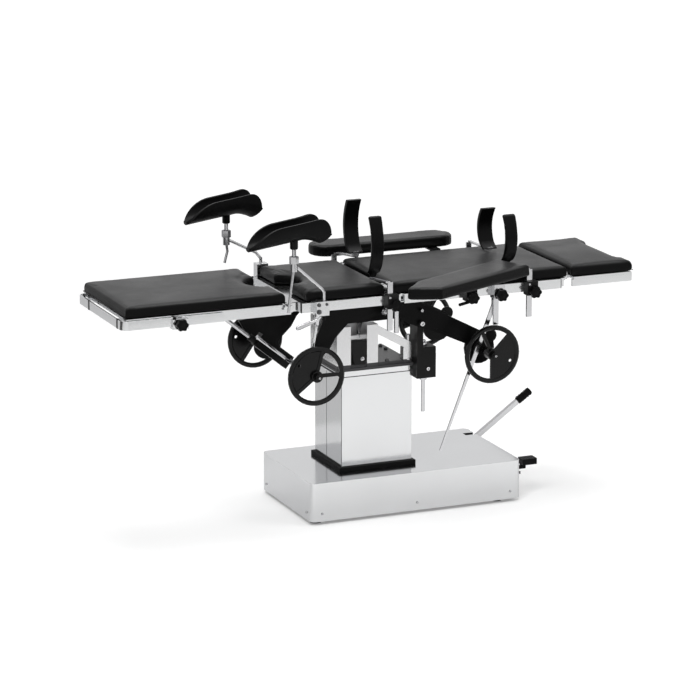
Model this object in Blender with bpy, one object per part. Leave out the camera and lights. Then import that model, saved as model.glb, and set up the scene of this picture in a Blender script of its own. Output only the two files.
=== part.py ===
"""Hydraulic operating table, built as separate sub-parts on their joint axes.

Metres, +Z up. X runs from the foot end to the head end. Y runs from the near side,
which has the slanted arm board, to the far side. Places are laid out from the floor
and from the hinge line of seat and back. The root empty then moves the whole table,
so that the origin lies on the floor, under the middle of the finished part.
"""
import math

import bmesh
import bpy
from mathutils import Vector

# Clearances and stock shared by many pieces
GAP = 0.0003
OVERRUN = 0.003
SHEET = 0.003
LAP = 0.001
ROUND_SIDES = 20
SMALL_SIDES = 12
RIM_SIDES = 36
CORNER_STEPS = 5
NEAR = -1
FAR = 1
SIDES = (NEAR, FAR)
EMPTY_SIZE = 0.05
SHARP_ANGLE = math.radians(38)

# Table top, in its flat position
TOP_Z = 0.908
CUSHION_T = 0.046
CUSHION_HALF = 0.240
CUSHION_Z = TOP_Z - CUSHION_T
FOOT_END_X = -1.038
LEG_HEAD_X = -0.409
SEAT_FOOT_X = -0.332
BACK_HINGE_X = 0.0
HEAD_HINGE_X = 0.753
HEAD_END_X = 1.025
BACK_SEAM_HALF = 0.010
HEAD_SEAM_HALF = 0.006
CROWN = 0.0035
NOTCH_HALF = 0.080
NOTCH_DEPTH = 0.068
RECESS_HALF = 0.150
RECESS_DEPTH = 0.018
CUSHION_EDGE = 0.011
EDGE_INSET_SHARES = (0.40, 0.12, 0.0, 0.0, 0.12, 0.50, 1.0)
EDGE_HEIGHT_SHARES = (0.0, 0.14, 0.32, 0.60, 0.78, 0.93, 1.0)

# Frames and side rails under the cushions
BOARD_T = 0.010
BOARD_TOP = CUSHION_Z - GAP
BOARD_BOTTOM = BOARD_TOP - BOARD_T
BOARD_HALF = 0.240
BOARD_SETBACK = 0.018
RAIL_T = 0.010
RAIL_H = 0.036
RAIL_IN = 0.242
RAIL_OUT = RAIL_IN + RAIL_T
RAIL_BOTTOM = CUSHION_Z - RAIL_H
SEAT_FRAME_X = -0.353
END_PLATE_T = 0.008
SEAT_RAIL_END_X = {NEAR: 0.045, FAR: -0.050}
BACK_RAIL_START_X = {NEAR: 0.060, FAR: -0.035}
BACK_RAIL_END_X = 0.710
BAR_T = 0.011
BACK_BAR_IN = 0.218
BACK_BAR_START = 0.026
HEAD_BAR_IN = 0.2295
HEAD_BAR_SETBACK = 0.012
HEAD_FRAME_END_X = 1.019
LUG_CLEARANCE = 0.0008
LUG_STUB = 0.002
LUG_FOOT = 0.034
LUG_DROP = 0.002
LUG_Y = (0.200, 0.215)
EAR_Y = (0.180, 0.195)
BACK_PIN_R = 0.006
HEAD_PIN_R = 0.003
HEAD_PIN_DROP = 0.009

# Leg section and its hinge
LEG_HINGE_X = -0.390
LEG_HINGE_Z = 0.845
LEG_EAR_R = 0.016
LEG_PIN_R = 0.007
LEG_PIN_HEAD_R = 0.011
LEG_PIN_HEAD_T = 0.006
LEG_BAR_IN = 0.224
LEG_BAR_T = 0.012
LEG_BAR_BOTTOM = 0.822
LEG_LUG_T = 0.013
LEG_BOARD_SETBACK = 0.024
BOARD_END_MARGIN = 0.005
LEG_BOARD_END_X = FOOT_END_X + BOARD_END_MARGIN
STAY_PIN_X = -0.620
STAY_PIN_Z = 0.817
STAY_PIN_R = 0.006
STAY_CHEEK_IN = 0.012
STAY_CHEEK_T = 0.008
STAY_CHEEK_HALF = 0.020
STAY_CHEEK_DROP = 0.014

# Bright end rail round the foot end
END_RAIL_T = 0.006
END_RAIL_GAP = 0.016
END_RAIL_X = (LEG_BOARD_END_X - END_RAIL_GAP - END_RAIL_T, -0.660)
END_RAIL_OUT = 0.2503
END_RAIL_Z = (0.823, 0.857)
END_RAIL_BEND = 0.030
STRAP_Y = 0.175
STRAP_HALF = 0.014
STRAP_T = 0.005
STRAP_REACH = 0.050
END_CLAMP_X = (-0.862, -0.800)
END_CLAMP_T = 0.010
END_CLAMP_TOP = 0.850

# Base
BASE_X = (-0.318, 0.552)
BASE_HALF = 0.251
BASE_TOP = 0.164
BASE_SKIRT = 0.014
BASE_CORNER = 0.022
CASTING_T = 0.026
FOOT_R = 0.022
FEET_X = (-0.280, 0.470)
FOOT_INSET = 0.051
PUMP_X = (0.380, 0.470)
PUMP_SIDE_GAP = 0.019
PUMP_H = 0.044
PUMP_EAR_T = 0.007

# Pump lever and release pedal
LEVER_INSET = 0.081
LEVER_PIVOT = (0.490, BASE_HALF - LEVER_INSET, 0.101)
LEVER_END = (0.735, 0.275)
LEVER_HALF = 0.009
LEVER_DEPTH = 0.018
LEVER_HUB_R = 0.017
LEVER_PIN_R = 0.007
LEVER_PAD_LENGTH = 0.068
LEVER_PAD_R = 0.015
LEVER_PAD_CORE_R = 0.007
LEVER_SLOT_X = 0.506
LEVER_SLOT_BOTTOM = 0.098
PEDAL_INSET = 0.051
PEDAL_PIVOT = (0.530, PEDAL_INSET - BASE_HALF, 0.120)
PEDAL_HUB_R = 0.010
PEDAL_PIN_R = 0.004
PEDAL_HALF = 0.007
PEDAL_ARM_T = 0.012
PEDAL_PAD_X = (0.574, 0.634)
PEDAL_PAD_HALF = 0.022
PEDAL_PAD_Z = (0.131, 0.155)
PEDAL_SLOT_HALF = 0.012
PEDAL_SLOT_Z = (0.092, 0.142)
PEDAL_STOP_X = (0.460, 0.572)
PEDAL_STOP_Z = (0.0945, 0.104)
PEDAL_EAR_T = 0.006

# Column, lift cylinder and yoke
COLUMN_HALF = (0.145, 0.131)
COLUMN_TOP = 0.529
INNER_GAP = 0.0035
INNER_Z = (0.200, 0.552)
GASKET_W = 0.012
GASKET_H = 0.016
CYLINDER_R = 0.050
CYLINDER_TOP = 0.500
RAM_R = 0.035
RAM_BOTTOM = 0.060
CAP_X = (-0.165, 0.150)
CAP_HALF = 0.135
CAP_T = 0.010
FLANGE_T = 0.012
FLANGE_HALF = 0.125
CROSS_Z = 0.700
FOOT_EAR_X = (-0.163, -0.106)
HEAD_EAR_X = (-0.040, 0.005)
EAR_TOP_R = 0.035
EAR_WIDTH = 0.131
EAR_HORN_Z = 0.725
EAR_HORN_IN = 0.085
EAR_VALLEY = (0.055, 0.660)
CROSS_PIN_R = 0.0117
CHANNEL_Y = (-0.128, -0.098)
CHANNEL_HIGH = (0.000, 0.722)
CHANNEL_LOW = (0.145, 0.640)
CHANNEL_DEPTH = 0.034

# Tilting cross and the jack on its near side
CROSS_HUB_HALF = 0.040
CROSS_HUB_Z = (0.665, 0.748)
CROSS_HUB_SLACK = 0.0025
BEAM_X = (-0.090, 0.035)
BEAM_Z = (0.7455, 0.810)
BEAM_HALF = 0.050
TREND_Z = 0.790
TRUNNION_R = 0.016
TRUNNION_REACH = 0.187
JOURNAL_R = 0.012
JOURNAL_REACH = 0.204
JACK_LINK_T = 0.016
JACK_LINK_X = (0.030, 0.178)
JACK_LINK_TURN_X = 0.150
JACK_Y = (-0.165, -0.095)
JACK_X = (0.152, 0.230)
JACK_Z = (0.504, 0.625)
JACK_ARM_END_X = 0.177
SCREW_X = 0.192
SCREW_Y = -0.131
SCREW_R = 0.0075
SCREW_Z = (0.366, 0.640)
SCREW_COLLAR_R = 0.014
SCREW_COLLAR_T = 0.012

# Side plates and the two cross shafts
PLATE_IN = 0.188
PLATE_T = 0.010
PLATE_TOP = BOARD_BOTTOM - GAP
LEG_SHAFT = (-0.321, 0.597)
BACK_SHAFT = (0.396, 0.611)
LEG_SHAFT_R = 0.008
BACK_SHAFT_R = 0.010
LEG_LOBE_R = 0.050
BACK_LOBE_R = 0.062
BEARING_R = 0.028
BEARING_T = 0.010
PLATE_TRIM_T = 0.004
# Shares of the distances from the tilt axis to a shaft, along X and down from the plate's top
LEG_ARM_OUTER_SHARES = ((0.897, 0.690), (0.760, 0.269), (0.779, 0.0))
FAR_ARM_OUTER_SHARES = ((1.240, 0.800), (1.355, 0.564), (0.935, 0.500), (0.760, 0.269), (0.779, 0.0))
LEG_ARM_INNER_SHARES = ((0.199, 0.379), (0.458, 0.379), (0.611, 0.572), (0.685, 0.729))
BACK_ARM_TOP_SHARES = ((-0.050, 0.0), (0.2525, 0.089), (0.422, 0.193), (0.672, 0.430))
BACK_ARM_BOTTOM_SHARES = ((0.591, 0.713), (0.263, 0.501), (0.152, 0.393))
PLATE_BOLT_SHARES = ((0.386, 0.301), (0.386, 0.518), (1.111, 0.817))
PLATE_BOLT_R = (0.006, 0.011, 0.026)

# Handwheels
WHEEL_R = 0.113
WHEEL_Y = 0.310
RIM_W = 0.020
RIM_T = 0.018
RIM_SECTION_SIDES = 8
HUB_R = 0.022
HUB_Y = (0.285, 0.324)
SPOKE_W = 0.013
SPOKE_T = 0.010
WEB_T = 0.005
WEB_HOLE_R = 0.006
SHAFT_END = 0.328

# Telescopic stay under the leg section
STAY_OFFSET = 0.0175
STAY_ROD_R = 0.008
STAY_ROD_INNER = 0.100
STAY_EYE_HALF = 0.010
STAY_EYE_R = 0.0145
STAY_SLOT_HALF = 0.010
STAY_SLOT_SLACK = 0.0032
STAY_BLOCK = (-0.022, 0.140)
STAY_BLOCK_HALF = 0.020
STAY_BLOCK_ABOVE = 0.020
STAY_BLOCK_BELOW = 0.034
STAY_TUBE_END = 0.165
STAY_TUBE_R = 0.013

# Clamps on the side rails and their star knobs
CLAMP_W = 0.044
CLAMP_DEPTH = 0.030
CLAMP_Z = (0.816, 0.870)
CLAMP_JAW_IN = 0.244
POST_W = 0.021
POST_T = 0.008
POST_IN = 0.2605
POST_SIDE = 0.013
KNOB_R = 0.0215
KNOB_LOBE = 0.0025
KNOB_LOBES = 6
KNOB_T = 0.016
KNOB_NECK_R = 0.011
KNOB_NECK_T = 0.005
KNOB_STEM_R = 0.004
KNOB_STEM_DEPTH = 0.005
KNOB_Z = 0.831

# Body supports: curved upright pads on posts
SUPPORT_PAD_W = 0.056
SUPPORT_PAD_T = 0.020
SUPPORT_PAD_BOW = 0.030
SUPPORT_PAD_EDGE = 0.005
SUPPORT_PAD_STEPS = 10
SUPPORT_PAD_Y = 0.205
SHOULDER_FAR_PAD_Y = 0.120
SUPPORT_FLARE = 0.014
SUPPORT_FLARE_SHARE = 0.18
SUPPORT_BAR_T = 0.006
SUPPORT_POST_BOTTOM = 0.731
SUPPORT_POST_TOP = 0.915
SUPPORT_PAD_BOTTOM = 0.936
SHOULDER_FAR_PAD_BOTTOM = 0.924
SUPPORT_FOOT_HALF = 0.012
SUPPORT_BAR_HALF = 0.0065
SUPPORT_ELBOW_SHARE = 0.36
HIP_NEAR_X = 0.008
HIP_FAR_X = 0.003
SHOULDER_NEAR_X = 0.583
SHOULDER_FAR_X = 0.575
HIP_PAD_SHIFT = -0.038
HIP_FAR_SHIFT = 0.057
SHOULDER_PAD_SHIFT = -0.063
SHOULDER_FAR_SHIFT = 0.014
HIP_TOP = 1.160
HIP_FAR_TOP = 1.135
SHOULDER_TOP = 1.122
SHOULDER_FAR_TOP = 1.076
HIP_TUBE_R = 0.007
HIP_TUBE_BOTTOM = 0.721

# Arm boards
ARM_T = 0.045
ARM_Z = 0.9115
ARM_EDGE = 0.006
ARM_NEAR_TIP = (-0.069, -0.549)
ARM_NEAR_BEND = (0.058, -0.598)
ARM_NEAR_OUTER = (0.529, -0.362)
ARM_NEAR_INNER = (0.455, -0.214)
ARM_NEAR_SHOULDER = (0.023, -0.439)
ARM_TIP_R = 0.035
ARM_POST_X = 0.431
ARM_POST_BOTTOM = 0.713
ARM_PLATE_HALF = 0.030
ARM_PLATE_T = 0.005
ARM_PIVOT_R = 0.008
ARM_PIVOT_DEPTH = 0.020
ARM_STAY_X = 0.324
ARM_STAY_LEVER_LENGTH = 0.052
ARM_STAY_LEVER_R = 0.006
ARM_FAR_X = (-0.073, 0.526)
ARM_FAR_Y = (0.290, 0.430)
ARM_FAR_END_R = 0.066
ARM_FAR_Z = 0.897
ARM_FAR_CLAMP_X = 0.424

# Hanging bar on the near rail
BAR_PIVOT_DROP = 0.016
BAR_TAB_T = 0.005
BAR_TAB_HALF = 0.011
BAR_TAB_BOTTOM = 0.012
BAR_LENGTH = 0.602
BAR_ANGLE = math.radians(248.3)
BAR_Y = (-0.2538, -0.2598)
BAR_TOP_HALF = 0.009
BAR_END_HALF = 0.0035
BAR_PIN_R = 0.004

# Leg crutches
CRUTCH_CLAMP_NEAR_X = (-0.306, -0.256)
CRUTCH_CLAMP_FAR_X = (-0.336, -0.290)
CRUTCH_CLAMP_FAR_TOP = 0.908
CRUTCH_ROD_R = 0.006
CRUTCH_ROD_Y = 0.2645
CRUTCH_ROD_BOTTOM = 0.800
CRUTCH_NEAR_ROD = ((-0.270, 0.902), (-0.281, 0.917), (-0.372, 0.999), (-0.389, 1.010))
CRUTCH_FAR_ROD = ((-0.313, 0.925), (-0.333, 0.950), (-0.434, 1.003), (-0.453, 1.012))
CRUTCH_NEAR_HANDLE = ((-0.389, 1.000), (-0.401, 0.930), (-0.412, 0.836))
CRUTCH_FAR_HANDLE = ((-0.453, 0.995), (-0.449, 0.965), (-0.461, 0.920))
CRUTCH_HANDLE_R = 0.005
CRUTCH_NEAR_STEM_X = -0.389
CRUTCH_FAR_STEM_X = -0.453
CRUTCH_BLOCK_R = 0.013
CRUTCH_BLOCK_Z = (0.990, 1.046)
CRUTCH_COLLAR_R = 0.018
CRUTCH_COLLAR_T = 0.026
CRUTCH_STEM_R = 0.0075
CRUTCH_STEM_DEPTH = 0.030
CRUTCH_SOCKET_R = 0.016
CRUTCH_SOCKET_Z = 1.088
CRUTCH_PAD_Z = 1.104
CRUTCH_PAD_LENGTH = 0.318
CRUTCH_PAD_FOOT_SHARE = 0.585
CRUTCH_PAD_SLOPE = 0.14
CRUTCH_PAD_HALF = 0.052
CRUTCH_PAD_DEPTH = 0.063
CRUTCH_PAD_T = 0.010
CRUTCH_FLARE_START_SHARE = 0.70
CRUTCH_FLARE_DROP = 0.046
CRUTCH_FLARE_OUT = 0.014
CRUTCH_RIM_ANGLE = math.radians(96)
CRUTCH_END_ANGLE = math.radians(52)
CRUTCH_STATIONS = 16
CRUTCH_AROUND = 12
CRUTCH_LEVER = ((-0.290, 0.812), (-0.305, 0.801), (-0.384, 0.776))
CRUTCH_LEVER_R = 0.005
CRUTCH_TAIL = ((-0.292, 0.820), (-0.300, 0.791), (-0.317, 0.697))
CRUTCH_TAIL_R = 0.006

FINISHES = {
    "stainless": ((0.62, 0.63, 0.64), 0.28, 1.0),
    "chrome": ((0.78, 0.78, 0.79), 0.14, 1.0),
    "cast_grey": ((0.42, 0.42, 0.43), 0.45, 0.7),
    "black_paint": ((0.022, 0.022, 0.023), 0.45, 0.0),
    "black_plastic": ((0.020, 0.020, 0.021), 0.35, 0.0),
    "black_vinyl": ((0.030, 0.030, 0.031), 0.50, 0.0),
    "rubber": ((0.018, 0.018, 0.018), 0.75, 0.0),
}

AXES = {}


def polar(centre, radius, angle):
    return (centre[0] + radius * math.cos(angle), centre[1] + radius * math.sin(angle))


def arc(centre, radius, start, end, steps):
    """Points on an arc, with both ends; angles in degrees."""
    turns = [math.radians(start + (end - start) * i / steps) for i in range(steps + 1)]
    return [polar(centre, radius, turn) for turn in turns]


def rounded_rectangle(x0, x1, y0, y1, radius, steps=CORNER_STEPS):
    corners = (
        ((x1 - radius, y1 - radius), 0),
        ((x0 + radius, y1 - radius), 90),
        ((x0 + radius, y0 + radius), 180),
        ((x1 - radius, y0 + radius), 270),
    )
    return [point for centre, turn in corners for point in arc(centre, radius, turn, turn + 90, steps)]


def rectangle(x0, x1, y0, y1):
    return [(x0, y0), (x1, y0), (x1, y1), (x0, y1)]


def solid(work):
    """Turn a bmesh into an object whose faces point out."""
    bmesh.ops.recalc_face_normals(work, faces=work.faces)
    mesh = bpy.data.meshes.new("piece")
    work.to_mesh(mesh)
    work.free()
    piece = bpy.data.objects.new("piece", mesh)
    bpy.context.collection.objects.link(piece)
    return piece


def prism(outline, axis, start, end):
    """Extrude an outline along one axis; it lists the other two coordinates in order."""
    spread = {
        "X": lambda a, b, h: (h, a, b),
        "Y": lambda a, b, h: (a, h, b),
        "Z": lambda a, b, h: (a, b, h),
    }[axis]
    work = bmesh.new()
    rings = [[work.verts.new(spread(a, b, height)) for a, b in outline] for height in (start, end)]
    for ring in rings:
        work.faces.new(ring)
    for i, corner in enumerate(rings[0]):
        j = (i + 1) % len(outline)
        work.faces.new((corner, rings[0][j], rings[1][j], rings[1][i]))
    return solid(work)


def box(x0, x1, y0, y1, z0, z1):
    return prism(rectangle(x0, x1, y0, y1), "Z", z0, z1)


def round_bar(points, radius, sides=SMALL_SIDES):
    """A round bar along a path, with a mitre at each bend."""
    path = [Vector(point) for point in points]
    heading = (path[1] - path[0]).normalized()
    across = heading.orthogonal().normalized()
    up = heading.cross(across)
    work = bmesh.new()
    turns = [math.tau * i / sides for i in range(sides)]
    ring = [path[0] + radius * (math.cos(t) * across + math.sin(t) * up) for t in turns]
    rings = [[work.verts.new(point) for point in ring]]
    for i, place in enumerate(path[1:], start=1):
        heading = (place - path[i - 1]).normalized()
        ahead = (path[i + 1] - place).normalized() if i + 1 < len(path) else heading
        facing = (heading + ahead).normalized()
        ring = [point + heading * ((place - point).dot(facing) / heading.dot(facing)) for point in ring]
        rings.append([work.verts.new(point) for point in ring])
    work.faces.new(rings[0])
    work.faces.new(rings[-1])
    for low, high in zip(rings, rings[1:]):
        for i in range(sides):
            j = (i + 1) % sides
            work.faces.new((low[i], low[j], high[j], high[i]))
    return solid(work)


def cylinder(axis, centre, radius, start, end, sides=ROUND_SIDES):
    """A cylinder along an axis; centre holds the other two coordinates."""
    circle = [polar(centre, radius, math.tau * (i + 0.5) / sides) for i in range(sides)]
    return prism(circle, axis, start, end)


def bore(axis, centre, radius, start, end, sides=ROUND_SIDES):
    """A cutter whose flats clear a round bar of this radius."""
    return cylinder(axis, centre, (radius + GAP) / math.cos(math.pi / sides), start, end, sides)


def ring_solid(section, centre, sides):
    """Turn a closed section of radius and y round an axis along Y."""
    work = bmesh.new()
    rings = []
    for i in range(sides):
        angle = math.tau * i / sides
        places = [polar(centre, radius, angle) for radius, _ in section]
        rings.append([work.verts.new((x, y, z)) for (x, z), (_, y) in zip(places, section)])
    for i, ring in enumerate(rings):
        after = rings[(i + 1) % sides]
        for k in range(len(section)):
            m = (k + 1) % len(section)
            work.faces.new((ring[k], ring[m], after[m], after[k]))
    return solid(work)


def combine(piece, others, operation):
    for other in others:
        step = piece.modifiers.new("step", "BOOLEAN")
        step.operation = operation
        step.solver = "EXACT"
        step.object = other
    graph = bpy.context.evaluated_depsgraph_get()
    mesh = bpy.data.meshes.new_from_object(piece.evaluated_get(graph))
    piece.modifiers.clear()
    piece.data = mesh
    for other in others:
        bpy.data.objects.remove(other)
    return piece


def fuse(piece, *others):
    return combine(piece, others, "UNION")


def cut(piece, *others):
    return combine(piece, others, "DIFFERENCE")


def soften(piece, width, segments=2):
    """Round the sharp edges of a moulded or padded piece."""
    edge = piece.modifiers.new("soft_edges", "BEVEL")
    edge.width = width
    edge.segments = segments
    edge.limit_method = "ANGLE"
    edge.angle_limit = SHARP_ANGLE
    return piece


def material(name, finish):
    colour, roughness, metallic = FINISHES[finish]
    paint = bpy.data.materials.new(name)
    paint.use_nodes = True
    shader = paint.node_tree.nodes["Principled BSDF"]
    shader.inputs["Base Color"].default_value = (*colour, 1)
    shader.inputs["Roughness"].default_value = roughness
    shader.inputs["Metallic"].default_value = metallic
    return paint


def finish(name, piece, look, axis):
    """Name a sub-part, give it its material and hang it on its joint's empty."""
    piece.name = name
    piece.data.name = name
    piece.data.materials.clear()
    piece.data.materials.append(material(name, look))
    piece.data.shade_smooth()
    piece.data.set_sharp_from_angle(angle=SHARP_ANGLE)
    empty, place = AXES[axis]
    shift = place
    for vertex in piece.data.vertices:
        vertex.co -= shift
    piece.parent = empty
    return piece


def add_axis(name, parent, place):
    """An empty on a joint's axis; place is in the table's own layout."""
    empty = bpy.data.objects.new(name, None)
    empty.empty_display_size = EMPTY_SIZE
    bpy.context.collection.objects.link(empty)
    place = Vector(place)
    if parent:
        empty.parent, carrier = AXES[parent]
        empty.location = place - carrier
    else:
        empty.location = place
    AXES[name] = (empty, place)


def hinge_z(x):
    """Height of the hinge in the seam at x: half way up the cushions, and lower at the head."""
    drop = HEAD_PIN_DROP if x == HEAD_HINGE_X else 0
    return TOP_Z - CUSHION_T / 2 - drop


def stay_line():
    """Unit direction of the stay's rod at rest, and the rod line's nearest point to the shaft."""
    shaft = Vector(LEG_SHAFT)
    pin = Vector((STAY_PIN_X, STAY_PIN_Z))
    reach = pin - shaft
    turn = math.asin(STAY_OFFSET / reach.length)
    heading = math.atan2(reach.y, reach.x) - turn
    along = Vector((math.cos(heading), math.sin(heading)))
    foot = shaft + STAY_OFFSET * Vector((-along.y, along.x))
    return along, foot, reach.length * math.cos(turn)


def add_axes():
    add_axis("root", None, (0, 0, 0))
    add_axis("lift", "root", (0, 0, COLUMN_TOP))
    add_axis("lateral", "lift", (0, 0, CROSS_Z))
    add_axis("trend", "lateral", (0, 0, TREND_Z))
    add_axis("tilt_screw_turn", "lateral", (SCREW_X, SCREW_Y, JACK_Z[0]))
    add_axis("back", "trend", (BACK_HINGE_X, 0, hinge_z(BACK_HINGE_X)))
    add_axis("head", "back", (HEAD_HINGE_X, 0, hinge_z(HEAD_HINGE_X)))
    add_axis("leg", "trend", (LEG_HINGE_X, 0, LEG_HINGE_Z))
    add_axis("leg_wheels", "trend", (LEG_SHAFT[0], 0, LEG_SHAFT[1]))
    add_axis("back_wheels", "trend", (BACK_SHAFT[0], 0, BACK_SHAFT[1]))
    add_axis("stay_swing", "trend", (LEG_SHAFT[0], 0, LEG_SHAFT[1]))
    add_axis("stay_slide", "stay_swing", (STAY_PIN_X, 0, STAY_PIN_Z))
    add_axis("pump_lever_turn", "root", LEVER_PIVOT)
    add_axis("pedal_turn", "root", PEDAL_PIVOT)
    knob_x = (END_CLAMP_X[0] + END_CLAMP_X[1]) / 2
    add_axis("leg_rail_knob_turn", "leg", (knob_x, -END_RAIL_OUT, KNOB_Z))
    add_axis("hip_knob_turn", "trend", (HIP_NEAR_X, -RAIL_OUT, KNOB_Z))
    add_axis("arm_knob_turn", "back", (ARM_POST_X + POST_SIDE, -RAIL_OUT, KNOB_Z))
    add_axis("arm_stay_knob_turn", "back", (ARM_STAY_X, -RAIL_OUT, KNOB_Z))
    add_axis("shoulder_knob_turn", "back", (SHOULDER_NEAR_X, -RAIL_OUT, KNOB_Z))
    post_y = POST_IN + POST_T / 2
    add_axis("hip_near_slide", "trend", (HIP_NEAR_X - POST_SIDE, -post_y, CLAMP_Z[1]))
    add_axis("hip_far_slide", "back", (HIP_FAR_X - POST_SIDE, post_y, CLAMP_Z[1]))
    add_axis("shoulder_near_slide", "back", (SHOULDER_NEAR_X - POST_SIDE, -post_y, CLAMP_Z[1]))
    add_axis("shoulder_far_slide", "back", (SHOULDER_FAR_X - POST_SIDE, post_y, CLAMP_Z[1]))
    add_axis("arm_near_swing", "back", (ARM_POST_X, -post_y, ARM_Z))
    add_axis("arm_far_swing", "back", (ARM_FAR_CLAMP_X, far_arm_pivot_y(), ARM_FAR_Z))
    add_axis("bar_swing", "back", (ARM_POST_X, sum(BAR_Y) / 2, CLAMP_Z[0] - BAR_PIVOT_DROP))
    add_axis("crutch_near_swing", "trend", (CRUTCH_NEAR_ROD[0][0], -CRUTCH_ROD_Y, CLAMP_Z[1]))
    add_axis("crutch_far_swing", "trend", (CRUTCH_FAR_ROD[0][0], CRUTCH_ROD_Y, CRUTCH_CLAMP_FAR_TOP))
    add_axis("crutch_near_turn", "crutch_near_swing", (CRUTCH_NEAR_STEM_X, -CRUTCH_ROD_Y, CRUTCH_BLOCK_Z[1]))
    add_axis("crutch_far_turn", "crutch_far_swing", (CRUTCH_FAR_STEM_X, CRUTCH_ROD_Y, CRUTCH_BLOCK_Z[1]))


def far_arm_pivot_y():
    return (ARM_FAR_Y[0] + ARM_FAR_Y[1]) / 2


# Base and column


def base_casting():
    inset = SHEET + GAP
    plate = prism(
        rounded_rectangle(
            BASE_X[0] + inset, BASE_X[1] - inset, -BASE_HALF + inset, BASE_HALF - inset, BASE_CORNER - inset
        ),
        "Z",
        BASE_SKIRT,
        BASE_SKIRT + CASTING_T,
    )
    feet = [
        cylinder("Z", (x, side * (BASE_HALF - FOOT_INSET)), FOOT_R, 0, BASE_SKIRT + LAP)
        for x in FEET_X
        for side in SIDES
    ]
    finish("base_casting", fuse(plate, *feet), "cast_grey", "root")


def base_cover():
    shell = prism(
        rounded_rectangle(*BASE_X, -BASE_HALF, BASE_HALF, BASE_CORNER), "Z", BASE_SKIRT, BASE_TOP
    )
    hollow = prism(
        rounded_rectangle(
            BASE_X[0] + SHEET, BASE_X[1] - SHEET, -BASE_HALF + SHEET, BASE_HALF - SHEET, BASE_CORNER - SHEET
        ),
        "Z",
        BASE_SKIRT - OVERRUN,
        BASE_TOP - SHEET,
    )
    half_x, half_y = (half + GAP for half in COLUMN_HALF)
    column_hole = box(-half_x, half_x, -half_y, half_y, BASE_TOP - SHEET - OVERRUN, BASE_TOP + OVERRUN)
    lever_half = LEVER_HALF + PUMP_EAR_T
    lever_slot = box(
        LEVER_SLOT_X,
        BASE_X[1] + OVERRUN,
        LEVER_PIVOT[1] - lever_half,
        LEVER_PIVOT[1] + lever_half,
        LEVER_SLOT_BOTTOM,
        BASE_TOP + OVERRUN,
    )
    pedal_slot = box(
        BASE_X[1] - SHEET - OVERRUN,
        BASE_X[1] + OVERRUN,
        PEDAL_PIVOT[1] - PEDAL_SLOT_HALF,
        PEDAL_PIVOT[1] + PEDAL_SLOT_HALF,
        *PEDAL_SLOT_Z,
    )
    finish("base_cover", cut(shell, hollow, column_hole, lever_slot, pedal_slot), "stainless", "root")


def rectangular_tube(half_x, half_y, wall, z0, z1):
    outer = box(-half_x, half_x, -half_y, half_y, z0, z1)
    inner = box(wall - half_x, half_x - wall, wall - half_y, half_y - wall, z0 - OVERRUN, z1 + OVERRUN)
    return cut(outer, inner)


def column_gasket():
    half_x, half_y = (half + GAP + GASKET_W for half in COLUMN_HALF)
    bottom = BASE_TOP + GAP
    piece = rectangular_tube(half_x, half_y, GASKET_W, bottom, bottom + GASKET_H)
    finish("column_gasket", piece, "rubber", "root")


def column_outer_cover():
    bottom = BASE_SKIRT + CASTING_T + GAP
    tube = rectangular_tube(*COLUMN_HALF, SHEET, bottom, COLUMN_TOP)
    finish("column_outer_cover", tube, "stainless", "root")


def lift_cylinder():
    bottom = BASE_SKIRT + CASTING_T + GAP
    tube = cylinder("Z", (0, 0), CYLINDER_R, bottom, CYLINDER_TOP)
    hollow = bore("Z", (0, 0), RAM_R, bottom - OVERRUN, CYLINDER_TOP + OVERRUN)
    finish("lift_cylinder", cut(tube, hollow), "cast_grey", "root")


def pump_body():
    bottom = BASE_SKIRT + CASTING_T + GAP
    top = bottom + PUMP_H
    parts = []
    lever_x, lever_y, lever_z = LEVER_PIVOT
    for side in SIDES:
        inner = lever_y + side * (LEVER_HALF + GAP)
        outer = inner + side * (PUMP_EAR_T - 2 * GAP)
        reach = lever_x + LEVER_HUB_R * 0.7
        parts.append(box(PUMP_X[0], reach, inner, outer, bottom, lever_z + LEVER_PIN_R * 1.6))
    pin_half = LEVER_HALF + LAP
    pin = cylinder("Y", (lever_x, lever_z), LEVER_PIN_R, lever_y - pin_half, lever_y + pin_half)
    pedal_x, pedal_y, pedal_z = PEDAL_PIVOT
    for side in SIDES:
        inner = pedal_y + side * (PEDAL_HALF + GAP)
        outer = inner + side * PEDAL_EAR_T
        parts.append(box(PUMP_X[0], pedal_x + PEDAL_HUB_R * 0.9, inner, outer, bottom, pedal_z + PEDAL_HUB_R))
    low, high = pedal_y - PEDAL_HALF, pedal_y + PEDAL_HALF
    pedal_pin = cylinder("Y", (pedal_x, pedal_z), PEDAL_PIN_R, low - LAP, high + LAP, SMALL_SIDES)
    stop = box(*PEDAL_STOP_X, low, high, *PEDAL_STOP_Z)
    link = box(PUMP_X[0], PEDAL_STOP_X[0] + LAP, low, high, bottom, PEDAL_STOP_Z[1])
    pump_half = BASE_HALF - PUMP_SIDE_GAP
    body = box(*PUMP_X, -pump_half, pump_half, bottom, top)
    finish("pump_body", fuse(body, *parts, pin, pedal_pin, link, stop), "cast_grey", "root")


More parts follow.
